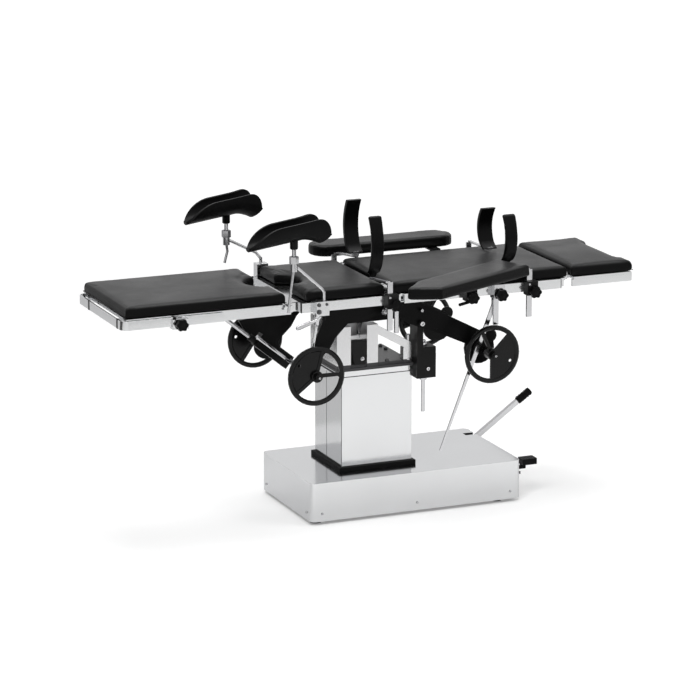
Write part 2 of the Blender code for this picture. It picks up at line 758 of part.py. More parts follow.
def pump_lever():
    pivot_x, pivot_y, pivot_z = LEVER_PIVOT
    run = Vector((LEVER_END[0] - pivot_x, LEVER_END[1] - pivot_z))
    along = run.normalized()
    across = Vector((-along.y, along.x)) * LEVER_DEPTH / 2
    start = Vector((pivot_x, pivot_z))
    end = start + run
    outline = [tuple(start - across), tuple(end - across), tuple(end + across), tuple(start + across)]
    low, high = pivot_y - LEVER_HALF, pivot_y + LEVER_HALF
    arm = prism(outline, "Y", low, high)
    hub = cylinder("Y", (pivot_x, pivot_z), LEVER_HUB_R, low, high)
    tip = end + along * LEVER_PAD_LENGTH / 2
    core = round_bar(
        [(end.x - along.x * LAP, pivot_y, end.y - along.y * LAP), (tip.x, pivot_y, tip.y)], LEVER_PAD_CORE_R
    )
    piece = fuse(arm, hub, core)
    cut(piece, bore("Y", (pivot_x, pivot_z), LEVER_PIN_R, low - OVERRUN, high + OVERRUN))
    finish("pump_lever", piece, "chrome", "pump_lever_turn")
    pad_start = end + along * GAP
    pad_end = pad_start + along * LEVER_PAD_LENGTH
    path = [(pad_start.x, pivot_y, pad_start.y), (pad_end.x, pivot_y, pad_end.y)]
    pad = round_bar(path, LEVER_PAD_R, ROUND_SIDES)
    socket_start = end - along * OVERRUN
    socket_end = tip + along * GAP
    socket = round_bar(
        [(socket_start.x, pivot_y, socket_start.y), (socket_end.x, pivot_y, socket_end.y)],
        (LEVER_PAD_CORE_R + GAP) / math.cos(math.pi / SMALL_SIDES),
    )
    finish("pump_lever_pad", cut(soften(pad, LEVER_PAD_R / 4), socket), "rubber", "pump_lever_turn")


def release_pedal():
    pivot_x, pivot_y, pivot_z = PEDAL_PIVOT
    low, high = pivot_y - PEDAL_HALF, pivot_y + PEDAL_HALF
    arm_z = pivot_z - PEDAL_ARM_T / 2
    hub = cylinder("Y", (pivot_x, pivot_z), PEDAL_HUB_R, low, high)
    arm = box(pivot_x, PEDAL_PAD_X[0] + PEDAL_HUB_R * 2, low, high, arm_z, arm_z + PEDAL_ARM_T)
    pad = box(*PEDAL_PAD_X, pivot_y - PEDAL_PAD_HALF, pivot_y + PEDAL_PAD_HALF, *PEDAL_PAD_Z)
    riser = box(PEDAL_PAD_X[0], PEDAL_PAD_X[0] + PEDAL_HUB_R * 2, low, high, arm_z, PEDAL_PAD_Z[0] + LAP)
    piece = fuse(hub, arm, riser, pad)
    soften(piece, PEDAL_HUB_R / 8, 1)
    cut(piece, bore("Y", (pivot_x, pivot_z), PEDAL_PIN_R, low - OVERRUN, high + OVERRUN, SMALL_SIDES))
    finish("release_pedal", piece, "black_plastic", "pedal_turn")


def column_inner_cover():
    half_x, half_y = (half - SHEET - INNER_GAP for half in COLUMN_HALF)
    finish("column_inner_cover", rectangular_tube(half_x, half_y, SHEET, *INNER_Z), "stainless", "lift")


def ear_outline():
    """Foot or head ear of the yoke in the YZ plane, with a raised corner on each side."""
    base = INNER_Z[1] + GAP + CAP_T
    right = [
        (EAR_WIDTH, base),
        (EAR_WIDTH, EAR_HORN_Z),
        (EAR_HORN_IN, EAR_HORN_Z),
        EAR_VALLEY,
    ]
    top = arc((0, CROSS_Z), EAR_TOP_R, 0, 180, 8)
    left = [(-y, z) for y, z in reversed(right)]
    return right + top + left


def column_yoke():
    bottom = INNER_Z[1] + GAP
    cap = box(*CAP_X, -CAP_HALF, CAP_HALF, bottom, bottom + CAP_T)
    flange_x = (FOOT_EAR_X[0], CAP_X[1] - FLANGE_T)
    flange = box(*flange_x, -FLANGE_HALF, FLANGE_HALF, bottom, bottom + CAP_T + FLANGE_T)
    ears = [prism(ear_outline(), "X", *span) for span in (FOOT_EAR_X, HEAD_EAR_X)]
    ram = cylinder("Z", (0, 0), RAM_R, RAM_BOTTOM, bottom + LAP)
    high, low = Vector(CHANNEL_HIGH), Vector(CHANNEL_LOW)
    drop = Vector((0, CHANNEL_DEPTH))
    outline = [tuple(high), tuple(high - drop), tuple(low - drop), tuple(low)]
    channel = prism(outline, "Y", *CHANNEL_Y)
    foot_x = CHANNEL_LOW[0] - CHANNEL_DEPTH
    strut = box(foot_x, CHANNEL_LOW[0], *CHANNEL_Y, bottom, CHANNEL_LOW[1] - CHANNEL_DEPTH / 2)
    piece = fuse(cap, flange, *ears, ram, channel, strut)
    cut(piece, bore("X", (0, CROSS_Z), CROSS_PIN_R, FOOT_EAR_X[0] - OVERRUN, HEAD_EAR_X[1] + OVERRUN))
    finish("column_yoke", piece, "cast_grey", "lift")


# Tilting cross and its jack


def tilt_cross():
    hub_x = (FOOT_EAR_X[1] + CROSS_HUB_SLACK, HEAD_EAR_X[0] - CROSS_HUB_SLACK)
    hub = box(*hub_x, -CROSS_HUB_HALF, CROSS_HUB_HALF, *CROSS_HUB_Z)
    pin = cylinder("X", (0, CROSS_Z), CROSS_PIN_R, FOOT_EAR_X[0] - GAP, HEAD_EAR_X[1] + GAP)
    beam = box(*BEAM_X, -BEAM_HALF, BEAM_HALF, *BEAM_Z)
    trunnion = cylinder("Y", (0, TREND_Z), TRUNNION_R, -TRUNNION_REACH, TRUNNION_REACH)
    journal = cylinder("Y", (0, TREND_Z), JOURNAL_R, -JOURNAL_REACH, JOURNAL_REACH)
    link_z = (BEAM_Z[0], BEAM_Z[0] + JACK_LINK_T)
    link = box(*JACK_LINK_X, -BEAM_HALF, BEAM_HALF, *link_z)
    turn = box(JACK_LINK_TURN_X, JACK_LINK_X[1], JACK_Y[0], LAP - BEAM_HALF, *link_z)
    finish("tilt_cross", fuse(beam, hub, pin, trunnion, journal, link, turn), "cast_grey", "lateral")


def tilt_jack():
    block = box(*JACK_X, *JACK_Y, *JACK_Z)
    arm = box(JACK_X[0], JACK_ARM_END_X, *JACK_Y, JACK_Z[1] - LAP, BEAM_Z[0] - GAP)
    housing = fuse(block, arm)
    place = (SCREW_X, SCREW_Y)
    cut(housing, bore("Z", place, SCREW_R, JACK_Z[0] - OVERRUN, JACK_Z[1] + OVERRUN, SMALL_SIDES))
    finish("tilt_jack_housing", housing, "black_paint", "lateral")
    screw = cylinder("Z", place, SCREW_R, *SCREW_Z, SMALL_SIDES)
    top_collar = cylinder(
        "Z", place, SCREW_COLLAR_R, JACK_Z[1] + GAP, JACK_Z[1] + GAP + SCREW_COLLAR_T, SMALL_SIDES
    )
    low_collar = cylinder(
        "Z", place, SCREW_COLLAR_R, JACK_Z[0] - GAP - SCREW_COLLAR_T, JACK_Z[0] - GAP, SMALL_SIDES
    )
    finish("tilt_screw", fuse(screw, top_collar, low_collar), "chrome", "tilt_screw_turn")


# Seat frame, side plates and shafts


def seam_lug(x, seam_half, toward, span, side):
    """A lug that rises in the seam between two cushions; its board lies toward -1 or 1."""
    radius = seam_half - LUG_CLEARANCE
    low, high = sorted((side * span[0], side * span[1]))
    foot_z = BOARD_BOTTOM - LUG_DROP
    neck = box(*sorted((x - toward * LUG_STUB, x + toward * radius)), low, high, foot_z, hinge_z(x))
    foot_x = sorted((x - toward * LUG_STUB, x + toward * LUG_FOOT))
    foot = box(*foot_x, low, high, foot_z, BOARD_TOP - LUG_DROP)
    return [neck, foot, cylinder("Y", (x, hinge_z(x)), radius, low, high)]


def seam_pins(x, radius):
    pins = []
    for side in SIDES:
        low, high = sorted((side * (EAR_Y[0] - LAP), side * (LUG_Y[1] - LAP)))
        pins.append(cylinder("Y", (x, hinge_z(x)), radius, low, high, SMALL_SIDES))
    return pins


def seam_bore(x, radius):
    reach = EAR_Y[1] + OVERRUN
    return bore("Y", (x, hinge_z(x)), radius, -reach, reach, SMALL_SIDES)


def main_frame():
    board = box(SEAT_FRAME_X, BACK_HINGE_X - BOARD_SETBACK, -BOARD_HALF, BOARD_HALF, BOARD_BOTTOM, BOARD_TOP)
    end_x = SEAT_FRAME_X + END_PLATE_T
    parts = [box(SEAT_FRAME_X, end_x, -RAIL_IN - LAP, RAIL_IN + LAP, RAIL_BOTTOM, BOARD_TOP - LAP)]
    for side in SIDES:
        low, high = sorted((side * RAIL_IN, side * RAIL_OUT))
        rail_end = SEAT_RAIL_END_X[side]
        parts.append(box(SEAT_FRAME_X, rail_end, low, high, RAIL_BOTTOM, CUSHION_Z))
        low, high = sorted((side * (BOARD_HALF - OVERRUN), side * (RAIL_IN + LAP)))
        web_end = min(rail_end, BACK_HINGE_X - BOARD_SETBACK) - LAP
        parts.append(box(SEAT_FRAME_X + LAP, web_end, low, high, BOARD_BOTTOM + LAP, BOARD_TOP - LAP))
        parts.extend(seam_lug(BACK_HINGE_X, BACK_SEAM_HALF, -1, LUG_Y, side))
        lug_out = LEG_BAR_IN - LUG_CLEARANCE
        low, high = sorted((side * (lug_out - LEG_LUG_T), side * lug_out))
        centre = (LEG_HINGE_X, LEG_HINGE_Z)
        parts.append(cylinder("Y", centre, LEG_EAR_R, low, high))
        parts.append(
            box(LEG_HINGE_X, SEAT_FRAME_X + LAP, low, high, LEG_HINGE_Z - LEG_EAR_R, LEG_HINGE_Z + LEG_EAR_R)
        )
        pin_end = LEG_BAR_IN + LEG_BAR_T + GAP
        parts.append(cylinder("Y", centre, LEG_PIN_R, side * (lug_out - LAP), side * (pin_end + LAP)))
        parts.append(cylinder("Y", centre, LEG_PIN_HEAD_R, side * pin_end, side * (pin_end + LEG_PIN_HEAD_T)))
    finish("main_frame", fuse(board, *parts, *seam_pins(BACK_HINGE_X, BACK_PIN_R)), "stainless", "trend")


def arm_points(shares, shaft):
    """Outline points as shares of the way from the tilt axis to a shaft, and from the top down to it."""
    return [(x * shaft[0], PLATE_TOP - drop * (PLATE_TOP - shaft[1])) for x, drop in shares]


def side_plate(name, side, outer_shares):
    leg_arc = arc(LEG_SHAFT, LEG_LOBE_R, 20, -205, 12)
    back_arc = arc(BACK_SHAFT, BACK_LOBE_R, 74, -200, 14)
    outline = (
        arm_points(BACK_ARM_TOP_SHARES, BACK_SHAFT)
        + back_arc
        + arm_points(BACK_ARM_BOTTOM_SHARES, BACK_SHAFT)
        + arm_points(LEG_ARM_INNER_SHARES, LEG_SHAFT)
        + leg_arc
        + arm_points(outer_shares, LEG_SHAFT)
    )
    inner, outer = side * PLATE_IN, side * (PLATE_IN + PLATE_T)
    plate = prism(outline, "Y", inner, outer)
    face = outer - side * LAP
    parts = [
        cylinder("Y", place, radius, face, outer + side * PLATE_TRIM_T)
        for place, radius in zip(arm_points(PLATE_BOLT_SHARES, BACK_SHAFT), PLATE_BOLT_R)
    ]
    parts.append(cylinder("Y", LEG_SHAFT, BEARING_R, face, outer + side * BEARING_T))
    parts.append(cylinder("Y", BACK_SHAFT, BEARING_R, face, outer + side * BEARING_T))
    fuse(plate, *parts)
    past = outer + side * (BEARING_T + OVERRUN)
    before = inner - side * OVERRUN
    cut(
        plate,
        bore("Y", LEG_SHAFT, LEG_SHAFT_R, before, past),
        bore("Y", BACK_SHAFT, BACK_SHAFT_R, before, past),
        bore("Y", (0, TREND_Z), JOURNAL_R, before, past),
    )
    finish(name, plate, "black_paint", "trend")


def handwheel(name, shaft, shaft_r, side, web, spoke, axis):
    """A wheel with three spokes and one filled sector; angles in degrees from +X towards +Z."""
    y = side * WHEEL_Y
    radius = WHEEL_R - RIM_W / 2
    section = []
    for i in range(RIM_SECTION_SIDES):
        turn = math.tau * (i + 0.5) / RIM_SECTION_SIDES
        section.append((radius + RIM_W / 2 * math.cos(turn), y + RIM_T / 2 * math.sin(turn)))
    rim = ring_solid(section, shaft, RIM_SIDES)
    inner, outer = side * HUB_Y[0], side * HUB_Y[1]
    parts = [cylinder("Y", shaft, HUB_R, inner, outer)]
    reach = WHEEL_R - RIM_W * 0.7
    steps = 9
    sector = arc(shaft, reach, web[0], web[1], steps) + arc(shaft, HUB_R * 0.8, web[1], web[0], steps)
    parts.append(prism(sector, "Y", y - WEB_T / 2, y + WEB_T / 2))
    for angle in (web[0], web[1], spoke):
        turn = math.radians(angle)
        along = Vector((math.cos(turn), math.sin(turn)))
        across = Vector((-along.y, along.x)) * SPOKE_W / 2
        start = Vector(shaft) + along * HUB_R * 0.7
        end = Vector(shaft) + along * reach
        outline = [tuple(start - across), tuple(end - across), tuple(end + across), tuple(start + across)]
        parts.append(prism(outline, "Y", y - SPOKE_T / 2, y + SPOKE_T / 2))
    fuse(rim, *parts)
    middle = math.radians((web[0] + web[1]) / 2)
    hole_place = polar(shaft, WHEEL_R * 0.72, middle)
    cut(
        rim,
        bore("Y", shaft, shaft_r, inner - side * OVERRUN, outer + side * OVERRUN),
        cylinder("Y", hole_place, WEB_HOLE_R, y - SPOKE_T, y + SPOKE_T, SMALL_SIDES),
    )
    finish(name, rim, "black_plastic", axis)


def shafts():
    leg = cylinder("Y", LEG_SHAFT, LEG_SHAFT_R, -SHAFT_END, SHAFT_END)
    finish("leg_wheel_shaft", leg, "chrome", "leg_wheels")
    back = cylinder("Y", BACK_SHAFT, BACK_SHAFT_R, -SHAFT_END, SHAFT_END)
    finish("back_wheel_shaft", back, "chrome", "back_wheels")


def handwheels():
    handwheel("leg_wheel_near", LEG_SHAFT, LEG_SHAFT_R, NEAR, (75, 217), 0, "leg_wheels")
    handwheel("leg_wheel_far", LEG_SHAFT, LEG_SHAFT_R, FAR, (100, 235), 20, "leg_wheels")
    handwheel("back_wheel_near", BACK_SHAFT, BACK_SHAFT_R, NEAR, (-90, 45), 115, "back_wheels")
    handwheel("back_wheel_far", BACK_SHAFT, BACK_SHAFT_R, FAR, (60, 195), 310, "back_wheels")


# Telescopic stay


def stay_point(distance, rise):
    """A point at a distance along the stay's line from the shaft, and a rise square to it."""
    along, foot, _ = stay_line()
    up = Vector((along.y, -along.x))
    place = foot + along * distance + up * rise
    return (place.x, place.y)


def stay_outline(start, end, below, above):
    corners = ((start, -below), (end, -below), (end, above), (start, above))
    return [stay_point(*corner) for corner in corners]


def stay_path(start, end):
    return [(x, 0, z) for x, z in (stay_point(start, 0), stay_point(end, 0))]


def stay():
    _, _, length = stay_line()
    below = STAY_BLOCK_BELOW - STAY_OFFSET
    above = STAY_BLOCK_ABOVE + STAY_OFFSET
    sleeve = prism(stay_outline(*STAY_BLOCK, below, above), "Y", -STAY_BLOCK_HALF, STAY_BLOCK_HALF)
    fuse(sleeve, round_bar(stay_path(STAY_BLOCK[1] - LAP, STAY_TUBE_END), STAY_TUBE_R))
    hole = (STAY_ROD_R + GAP) / math.cos(math.pi / SMALL_SIDES)
    passage = round_bar(stay_path(STAY_BLOCK[0] - OVERRUN, STAY_TUBE_END + OVERRUN), hole)
    half = STAY_BLOCK_HALF + OVERRUN
    cut(sleeve, passage, bore("Y", LEG_SHAFT, LEG_SHAFT_R, -half, half))
    finish("stay_sleeve", sleeve, "black_paint", "stay_swing")
    rod = round_bar(stay_path(STAY_ROD_INNER, length), STAY_ROD_R)
    reach = STAY_SLOT_HALF + STAY_EYE_R
    eye_outline = stay_outline(length - reach, length + reach, STAY_EYE_R, STAY_EYE_R)
    eye = prism(eye_outline, "Y", -STAY_EYE_HALF, STAY_EYE_HALF)
    width = STAY_PIN_R + STAY_SLOT_SLACK
    travel = STAY_SLOT_HALF + STAY_PIN_R
    slot = prism(stay_outline(length - travel, length + travel, width, width), "Y", -half, half)
    finish("stay_rod", cut(fuse(rod, eye), slot), "chrome", "stay_slide")


# Cushions


def notch(y, half, depth):
    return depth * math.sqrt(max(0, 1 - (y / half) ** 2)) if half else 0


def recess(y, half, depth):
    """A shallow hollow with sloping ends."""
    return depth * min(1, max(0, (half - abs(y)) / depth)) if half else 0


def cushion(name, span, ends, axis):
    """A padded block; ends name what is cut into the foot and head ends."""
    shapes = {
        "plain": (lambda y, inset: 0, 0),
        "notch": (lambda y, inset: notch(y, NOTCH_HALF + inset, NOTCH_DEPTH), NOTCH_HALF),
        "recess": (lambda y, inset: recess(y, RECESS_HALF + inset, RECESS_DEPTH), RECESS_HALF),
    }
    zone = max(shapes[end][1] for end in ends) or CUSHION_HALF / 2
    inner_shares = (0, 0.35, 0.65, 0.86, 0.96, 1)
    outer_shares = (0.3, 0.6, 0.84, 0.95, 1)
    along_shares = (0, 0.03, 0.1, 0.25, 0.5, 0.75, 0.9, 0.97, 1)

    def sheet(inset):
        edge = zone + inset
        half = CUSHION_HALF - inset
        steps = [share * edge for share in inner_shares]
        steps += [edge + share * (half - edge) for share in outer_shares]
        rows = []
        for y in [-step for step in reversed(steps[1:])] + steps:
            foot = span[0] + inset + shapes[ends[0]][0](y, inset)
            head = span[1] - inset - shapes[ends[1]][0](y, inset)
            rows.append([(foot + share * (head - foot), y) for share in along_shares])
        return rows

    work = bmesh.new()
    rounds = []
    for inset_share, height_share in zip(EDGE_INSET_SHARES, EDGE_HEIGHT_SHARES):
        rows = sheet(inset_share * CUSHION_EDGE)
        last = len(rows) - 1
        border = [(0, k) for k in range(len(rows[0]))]
        border += [(i, len(rows[0]) - 1) for i in range(1, last)]
        border += [(last, k) for k in reversed(range(len(rows[0])))]
        border += [(i, 0) for i in reversed(range(1, last))]
        height = CUSHION_Z + height_share * (CUSHION_T - CROWN)
        rounds.append([work.verts.new((*rows[i][k], height)) for i, k in border])
    for low, high in zip(rounds, rounds[1:]):
        for i in range(len(low)):
            j = (i + 1) % len(low)
            work.faces.new((low[i], low[j], high[j], high[i]))
    work.faces.new(rounds[0])
    rows = sheet(EDGE_INSET_SHARES[-1] * CUSHION_EDGE)
    half = CUSHION_HALF - CUSHION_EDGE
    on_border = dict(zip(border, rounds[-1]))
    grid = []
    for i, row in enumerate(rows):
        line = []
        for k, (x, y) in enumerate(row):
            if (i, k) in on_border:
                line.append(on_border[(i, k)])
                continue
            share = along_shares[k]
            rise = CROWN * (1 - (y / half) ** 4) * (1 - (2 * share - 1) ** 6)
            line.append(work.verts.new((x, y, TOP_Z - CROWN + rise)))
        grid.append(line)
    for lower, upper in zip(grid, grid[1:]):
        for k in range(len(lower) - 1):
            work.faces.new((lower[k], lower[k + 1], upper[k + 1], upper[k]))
    finish(name, solid(work), "black_vinyl", axis)


def cushions():
    cushion("leg_cushion", (FOOT_END_X, LEG_HEAD_X), ("plain", "notch"), "leg")
    cushion("seat_cushion", (SEAT_FOOT_X, BACK_HINGE_X - BACK_SEAM_HALF), ("notch", "plain"), "trend")
    back_span = (BACK_HINGE_X + BACK_SEAM_HALF, HEAD_HINGE_X - HEAD_SEAM_HALF)
    cushion("back_cushion", back_span, ("plain", "plain"), "back")
    cushion("head_cushion", (HEAD_HINGE_X + HEAD_SEAM_HALF, HEAD_END_X), ("plain", "recess"), "head")


# Leg, back and head frames


def leg_frame():
    board_x = (LEG_BOARD_END_X, LEG_HINGE_X - LEG_BOARD_SETBACK)
    board = box(*board_x, -BOARD_HALF, BOARD_HALF, BOARD_BOTTOM, BOARD_TOP)
    parts = []
    holes = []
    centre = (LEG_HINGE_X, LEG_HINGE_Z)
    for side in SIDES:
        low, high = sorted((side * LEG_BAR_IN, side * (LEG_BAR_IN + LEG_BAR_T)))
        parts.append(
            box(LEG_BOARD_END_X + LAP, LEG_HINGE_X, low, high, LEG_BAR_BOTTOM, BOARD_BOTTOM + LAP)
        )
        parts.append(cylinder("Y", centre, LEG_EAR_R, low, high))
        holes.append(bore("Y", centre, LEG_PIN_R, low - OVERRUN, high + OVERRUN))
        low, high = sorted((side * STAY_CHEEK_IN, side * (STAY_CHEEK_IN + STAY_CHEEK_T)))
        parts.append(
            box(
                STAY_PIN_X - STAY_CHEEK_HALF,
                STAY_PIN_X + STAY_CHEEK_HALF,
                low,
                high,
                STAY_PIN_Z - STAY_CHEEK_DROP,
                BOARD_BOTTOM + LAP,
            )
        )
    pin_reach = STAY_CHEEK_IN + LAP
    parts.append(cylinder("Y", (STAY_PIN_X, STAY_PIN_Z), STAY_PIN_R, -pin_reach, pin_reach, SMALL_SIDES))
    rail_low = END_RAIL_Z[0] - GAP
    bar_in = LEG_BAR_IN + LAP
    cheek_out = END_RAIL_OUT + GAP + END_CLAMP_T
    shelf_z = (rail_low - END_CLAMP_T, rail_low)
    parts.append(box(*END_CLAMP_X, -cheek_out, -bar_in, *shelf_z))
    bar_out = LEG_BAR_IN + LEG_BAR_T - LAP
    parts.append(box(*END_CLAMP_X, -bar_out, -bar_in, shelf_z[0], LEG_BAR_BOTTOM + LAP))
    parts.append(box(*END_CLAMP_X, -cheek_out, -(END_RAIL_OUT + GAP), shelf_z[0], END_CLAMP_TOP))
    fuse(board, *parts)
    knob_x = (END_CLAMP_X[0] + END_CLAMP_X[1]) / 2
    holes.append(stem_bore(knob_x, -cheek_out))
    finish("leg_frame", cut(board, *holes), "stainless", "leg")


def leg_end_rail():
    """A flat bar bent round the foot end, with two straps under the board."""
    inner = END_RAIL_OUT - END_RAIL_T
    x0, x1 = END_RAIL_X
    outer_bend = END_RAIL_BEND
    inner_bend = END_RAIL_BEND - END_RAIL_T
    corner_x = x0 + END_RAIL_BEND
    corner_y = END_RAIL_OUT - END_RAIL_BEND
    outline = [(x1, END_RAIL_OUT)]
    outline += arc((corner_x, corner_y), outer_bend, 90, 180, CORNER_STEPS)
    outline += arc((corner_x, -corner_y), outer_bend, 180, 270, CORNER_STEPS)
    outline += [(x1, -END_RAIL_OUT), (x1, -inner)]
    outline += arc((corner_x, -corner_y), inner_bend, 270, 180, CORNER_STEPS)
    outline += arc((corner_x, corner_y), inner_bend, 180, 90, CORNER_STEPS)
    outline += [(x1, inner)]
    rail = prism(outline, "Z", *END_RAIL_Z)
    strap_top = BOARD_BOTTOM - GAP
    straps = [
        box(
            x0 + LAP,
            LEG_BOARD_END_X + STRAP_REACH,
            side * STRAP_Y - STRAP_HALF,
            side * STRAP_Y + STRAP_HALF,
            strap_top - STRAP_T,
            strap_top,
        )
        for side in SIDES
    ]
    finish("leg_end_rail", fuse(rail, *straps), "stainless", "leg")


def back_frame():
    x0 = BACK_HINGE_X + BOARD_SETBACK
    x1 = HEAD_HINGE_X - BOARD_SETBACK
    board = box(x0, x1, -BOARD_HALF, BOARD_HALF, BOARD_BOTTOM, BOARD_TOP)
    parts = []
    for side in SIDES:
        low, high = sorted((side * BACK_BAR_IN, side * (BACK_BAR_IN + BAR_T)))
        parts.append(box(BACK_BAR_START, x1 - LAP, low, high, RAIL_BOTTOM, BOARD_BOTTOM + LAP))
        low, high = sorted((side * RAIL_IN, side * RAIL_OUT))
        parts.append(box(BACK_RAIL_START_X[side], BACK_RAIL_END_X, low, high, RAIL_BOTTOM, CUSHION_Z))
        low, high = sorted((side * (BOARD_HALF - OVERRUN), side * (RAIL_IN + LAP)))
        web_start = max(BACK_RAIL_START_X[side], x0) + LAP
        parts.append(box(web_start, BACK_RAIL_END_X - LAP, low, high, BOARD_BOTTOM + LAP, BOARD_TOP - LAP))
        parts.extend(seam_lug(BACK_HINGE_X, BACK_SEAM_HALF, 1, EAR_Y, side))
        parts.extend(seam_lug(HEAD_HINGE_X, HEAD_SEAM_HALF, -1, LUG_Y, side))
    fuse(board, *parts, *seam_pins(HEAD_HINGE_X, HEAD_PIN_R))
    finish("back_frame", cut(board, seam_bore(BACK_HINGE_X, BACK_PIN_R)), "stainless", "back")


def head_frame():
    x0 = HEAD_HINGE_X + BOARD_SETBACK
    board = box(x0, HEAD_FRAME_END_X, -BOARD_HALF, BOARD_HALF, BOARD_BOTTOM, BOARD_TOP)
    parts = []
    for side in SIDES:
        low, high = sorted((side * HEAD_BAR_IN, side * (HEAD_BAR_IN + BAR_T)))
        start = HEAD_HINGE_X + HEAD_BAR_SETBACK
        parts.append(box(start, HEAD_FRAME_END_X, low, high, RAIL_BOTTOM, BOARD_BOTTOM + LAP))
        parts.extend(seam_lug(HEAD_HINGE_X, HEAD_SEAM_HALF, 1, EAR_Y, side))
    end_x = HEAD_FRAME_END_X - BAR_T
    parts.append(box(end_x, HEAD_FRAME_END_X, -BOARD_HALF, BOARD_HALF, RAIL_BOTTOM, BOARD_BOTTOM + LAP))
    fuse(board, *parts)
    finish("head_frame", cut(board, seam_bore(HEAD_HINGE_X, HEAD_PIN_R)), "stainless", "head")


# Clamps, knobs and what they hold


def stem_bore(x, face_y):
    """The hole for a knob's stem in a face that looks away from the table."""
    side = math.copysign(1, face_y)
    depth = KNOB_STEM_DEPTH + GAP
    return bore("Y", (x, KNOB_Z), KNOB_STEM_R, face_y - side * depth, face_y + side * OVERRUN, SMALL_SIDES)


def clamp_outline(side, z0, z1):
    front = RAIL_OUT + CLAMP_DEPTH
    points = [
        (front, z0),
        (CLAMP_JAW_IN, z0),
        (CLAMP_JAW_IN, RAIL_BOTTOM - GAP),
        (RAIL_OUT + GAP, RAIL_BOTTOM - GAP),
        (RAIL_OUT + GAP, CUSHION_Z + GAP),
        (CLAMP_JAW_IN, CUSHION_Z + GAP),
        (CLAMP_JAW_IN, z1),
        (front, z1),
    ]
    return [(side * y, z) for y, z in points]


def rail_clamp(x0, x1, side, top=CLAMP_Z[1]):
    return prism(clamp_outline(side, CLAMP_Z[0], top), "X", x0, x1)


def post_box(x, side, z0, z1, slack=0):
    low, high = sorted((side * (POST_IN - slack), side * (POST_IN + POST_T + slack)))
    half = POST_W / 2 + slack
    return box(x - half, x + half, low, high, z0, z1)


def post_clamp(name, knob_x, side, axis, look="black_paint", extra=()):
    """A rail clamp with a square hole for a post, and on the near side a hole for the knob's stem."""
    post_x = knob_x - POST_SIDE
    clamp = rail_clamp(post_x - POST_SIDE - LAP, post_x - POST_SIDE - LAP + CLAMP_W, side)
    if extra:
        fuse(clamp, *extra)
    cutters = [post_box(post_x, side, CLAMP_Z[0] - OVERRUN, CLAMP_Z[1] + OVERRUN, GAP)]
    if side == NEAR:
        cutters.append(stem_bore(knob_x, -(RAIL_OUT + CLAMP_DEPTH)))
    finish(name, cut(clamp, *cutters), look, axis)


def star_knob(name, x, face_y, axis):
    """A six-lobed knob on a stem, outside a near-side face."""
    points = []
    count = KNOB_LOBES * 4
    for i in range(count):
        turn = math.tau * i / count
        radius = KNOB_R + KNOB_LOBE * math.cos(KNOB_LOBES * turn)
        points.append(polar((x, KNOB_Z), radius, turn))
    neck_y = face_y - GAP
    lobes_y = neck_y - KNOB_NECK_T
    lobes = prism(points, "Y", lobes_y, lobes_y - KNOB_T)
    neck = cylinder("Y", (x, KNOB_Z), KNOB_NECK_R, neck_y, lobes_y - LAP, SMALL_SIDES)
    stem = cylinder("Y", (x, KNOB_Z), KNOB_STEM_R, face_y + KNOB_STEM_DEPTH, lobes_y - LAP, SMALL_SIDES)
    finish(name, fuse(lobes, neck, stem), "black_plastic", axis)


def knobs():
    face = -(RAIL_OUT + CLAMP_DEPTH)
    leg_face = -(END_RAIL_OUT + GAP + END_CLAMP_T)
    star_knob("leg_rail_knob", (END_CLAMP_X[0] + END_CLAMP_X[1]) / 2, leg_face, "leg_rail_knob_turn")
    star_knob("hip_knob_near", HIP_NEAR_X, face, "hip_knob_turn")
    star_knob("arm_knob_near", ARM_POST_X + POST_SIDE, face, "arm_knob_turn")
    star_knob("arm_stay_knob", ARM_STAY_X, face, "arm_stay_knob_turn")
    star_knob("shoulder_knob_near", SHOULDER_NEAR_X, face, "shoulder_knob_turn")


def support_pad(x, side, top, pad_y, bottom):
    """A curved upright pad, hollow towards the table, that turns in at its foot."""
    height = top - bottom
    inner = []
    outer = []
    for i in range(SUPPORT_PAD_STEPS + 1):
        share = i / SUPPORT_PAD_STEPS
        bow = SUPPORT_PAD_BOW * (1 - (2 * share - 1) ** 2)
        flare = SUPPORT_FLARE * max(0, 1 - share / SUPPORT_FLARE_SHARE) ** 2
        y = pad_y + bow - flare
        z = bottom + share * height
        inner.append((side * (y - SUPPORT_PAD_T / 2), z))
        outer.append((side * (y + SUPPORT_PAD_T / 2), z))
    outline = inner + outer[::-1]
    return prism(outline, "X", x - SUPPORT_PAD_W / 2, x + SUPPORT_PAD_W / 2)


def support_post(post_x, pad_x, side, pad_y):
    """The post with the flat bar that reaches in to the pad's foot."""
    post = post_box(post_x, side, SUPPORT_POST_BOTTOM, SUPPORT_POST_TOP)
    elbow = Vector((post_x + SUPPORT_ELBOW_SHARE * (pad_x - post_x), side * (POST_IN + POST_T / 2)))
    end = Vector((pad_x, side * (pad_y - SUPPORT_FLARE)))
    along = (end - elbow).normalized()
    across = Vector((-along.y, along.x)) * SUPPORT_BAR_HALF
    far_end = end + along * SUPPORT_FOOT_HALF
    start = elbow - along * SUPPORT_BAR_HALF / 2
    outline = [tuple(start - across), tuple(far_end - across), tuple(far_end + across), tuple(start + across)]
    bar_z = (SUPPORT_POST_TOP - LAP, SUPPORT_POST_TOP + SUPPORT_BAR_T)
    bar = prism(outline, "Z", *bar_z)
    low_x, high_x = sorted((post_x, elbow.x))
    low_y, high_y = sorted((side * POST_IN, side * (POST_IN + POST_T)))
    arm = box(low_x, high_x, low_y, high_y, bar_z[0] - LAP, bar_z[1] - LAP)
    return fuse(post, bar, arm)


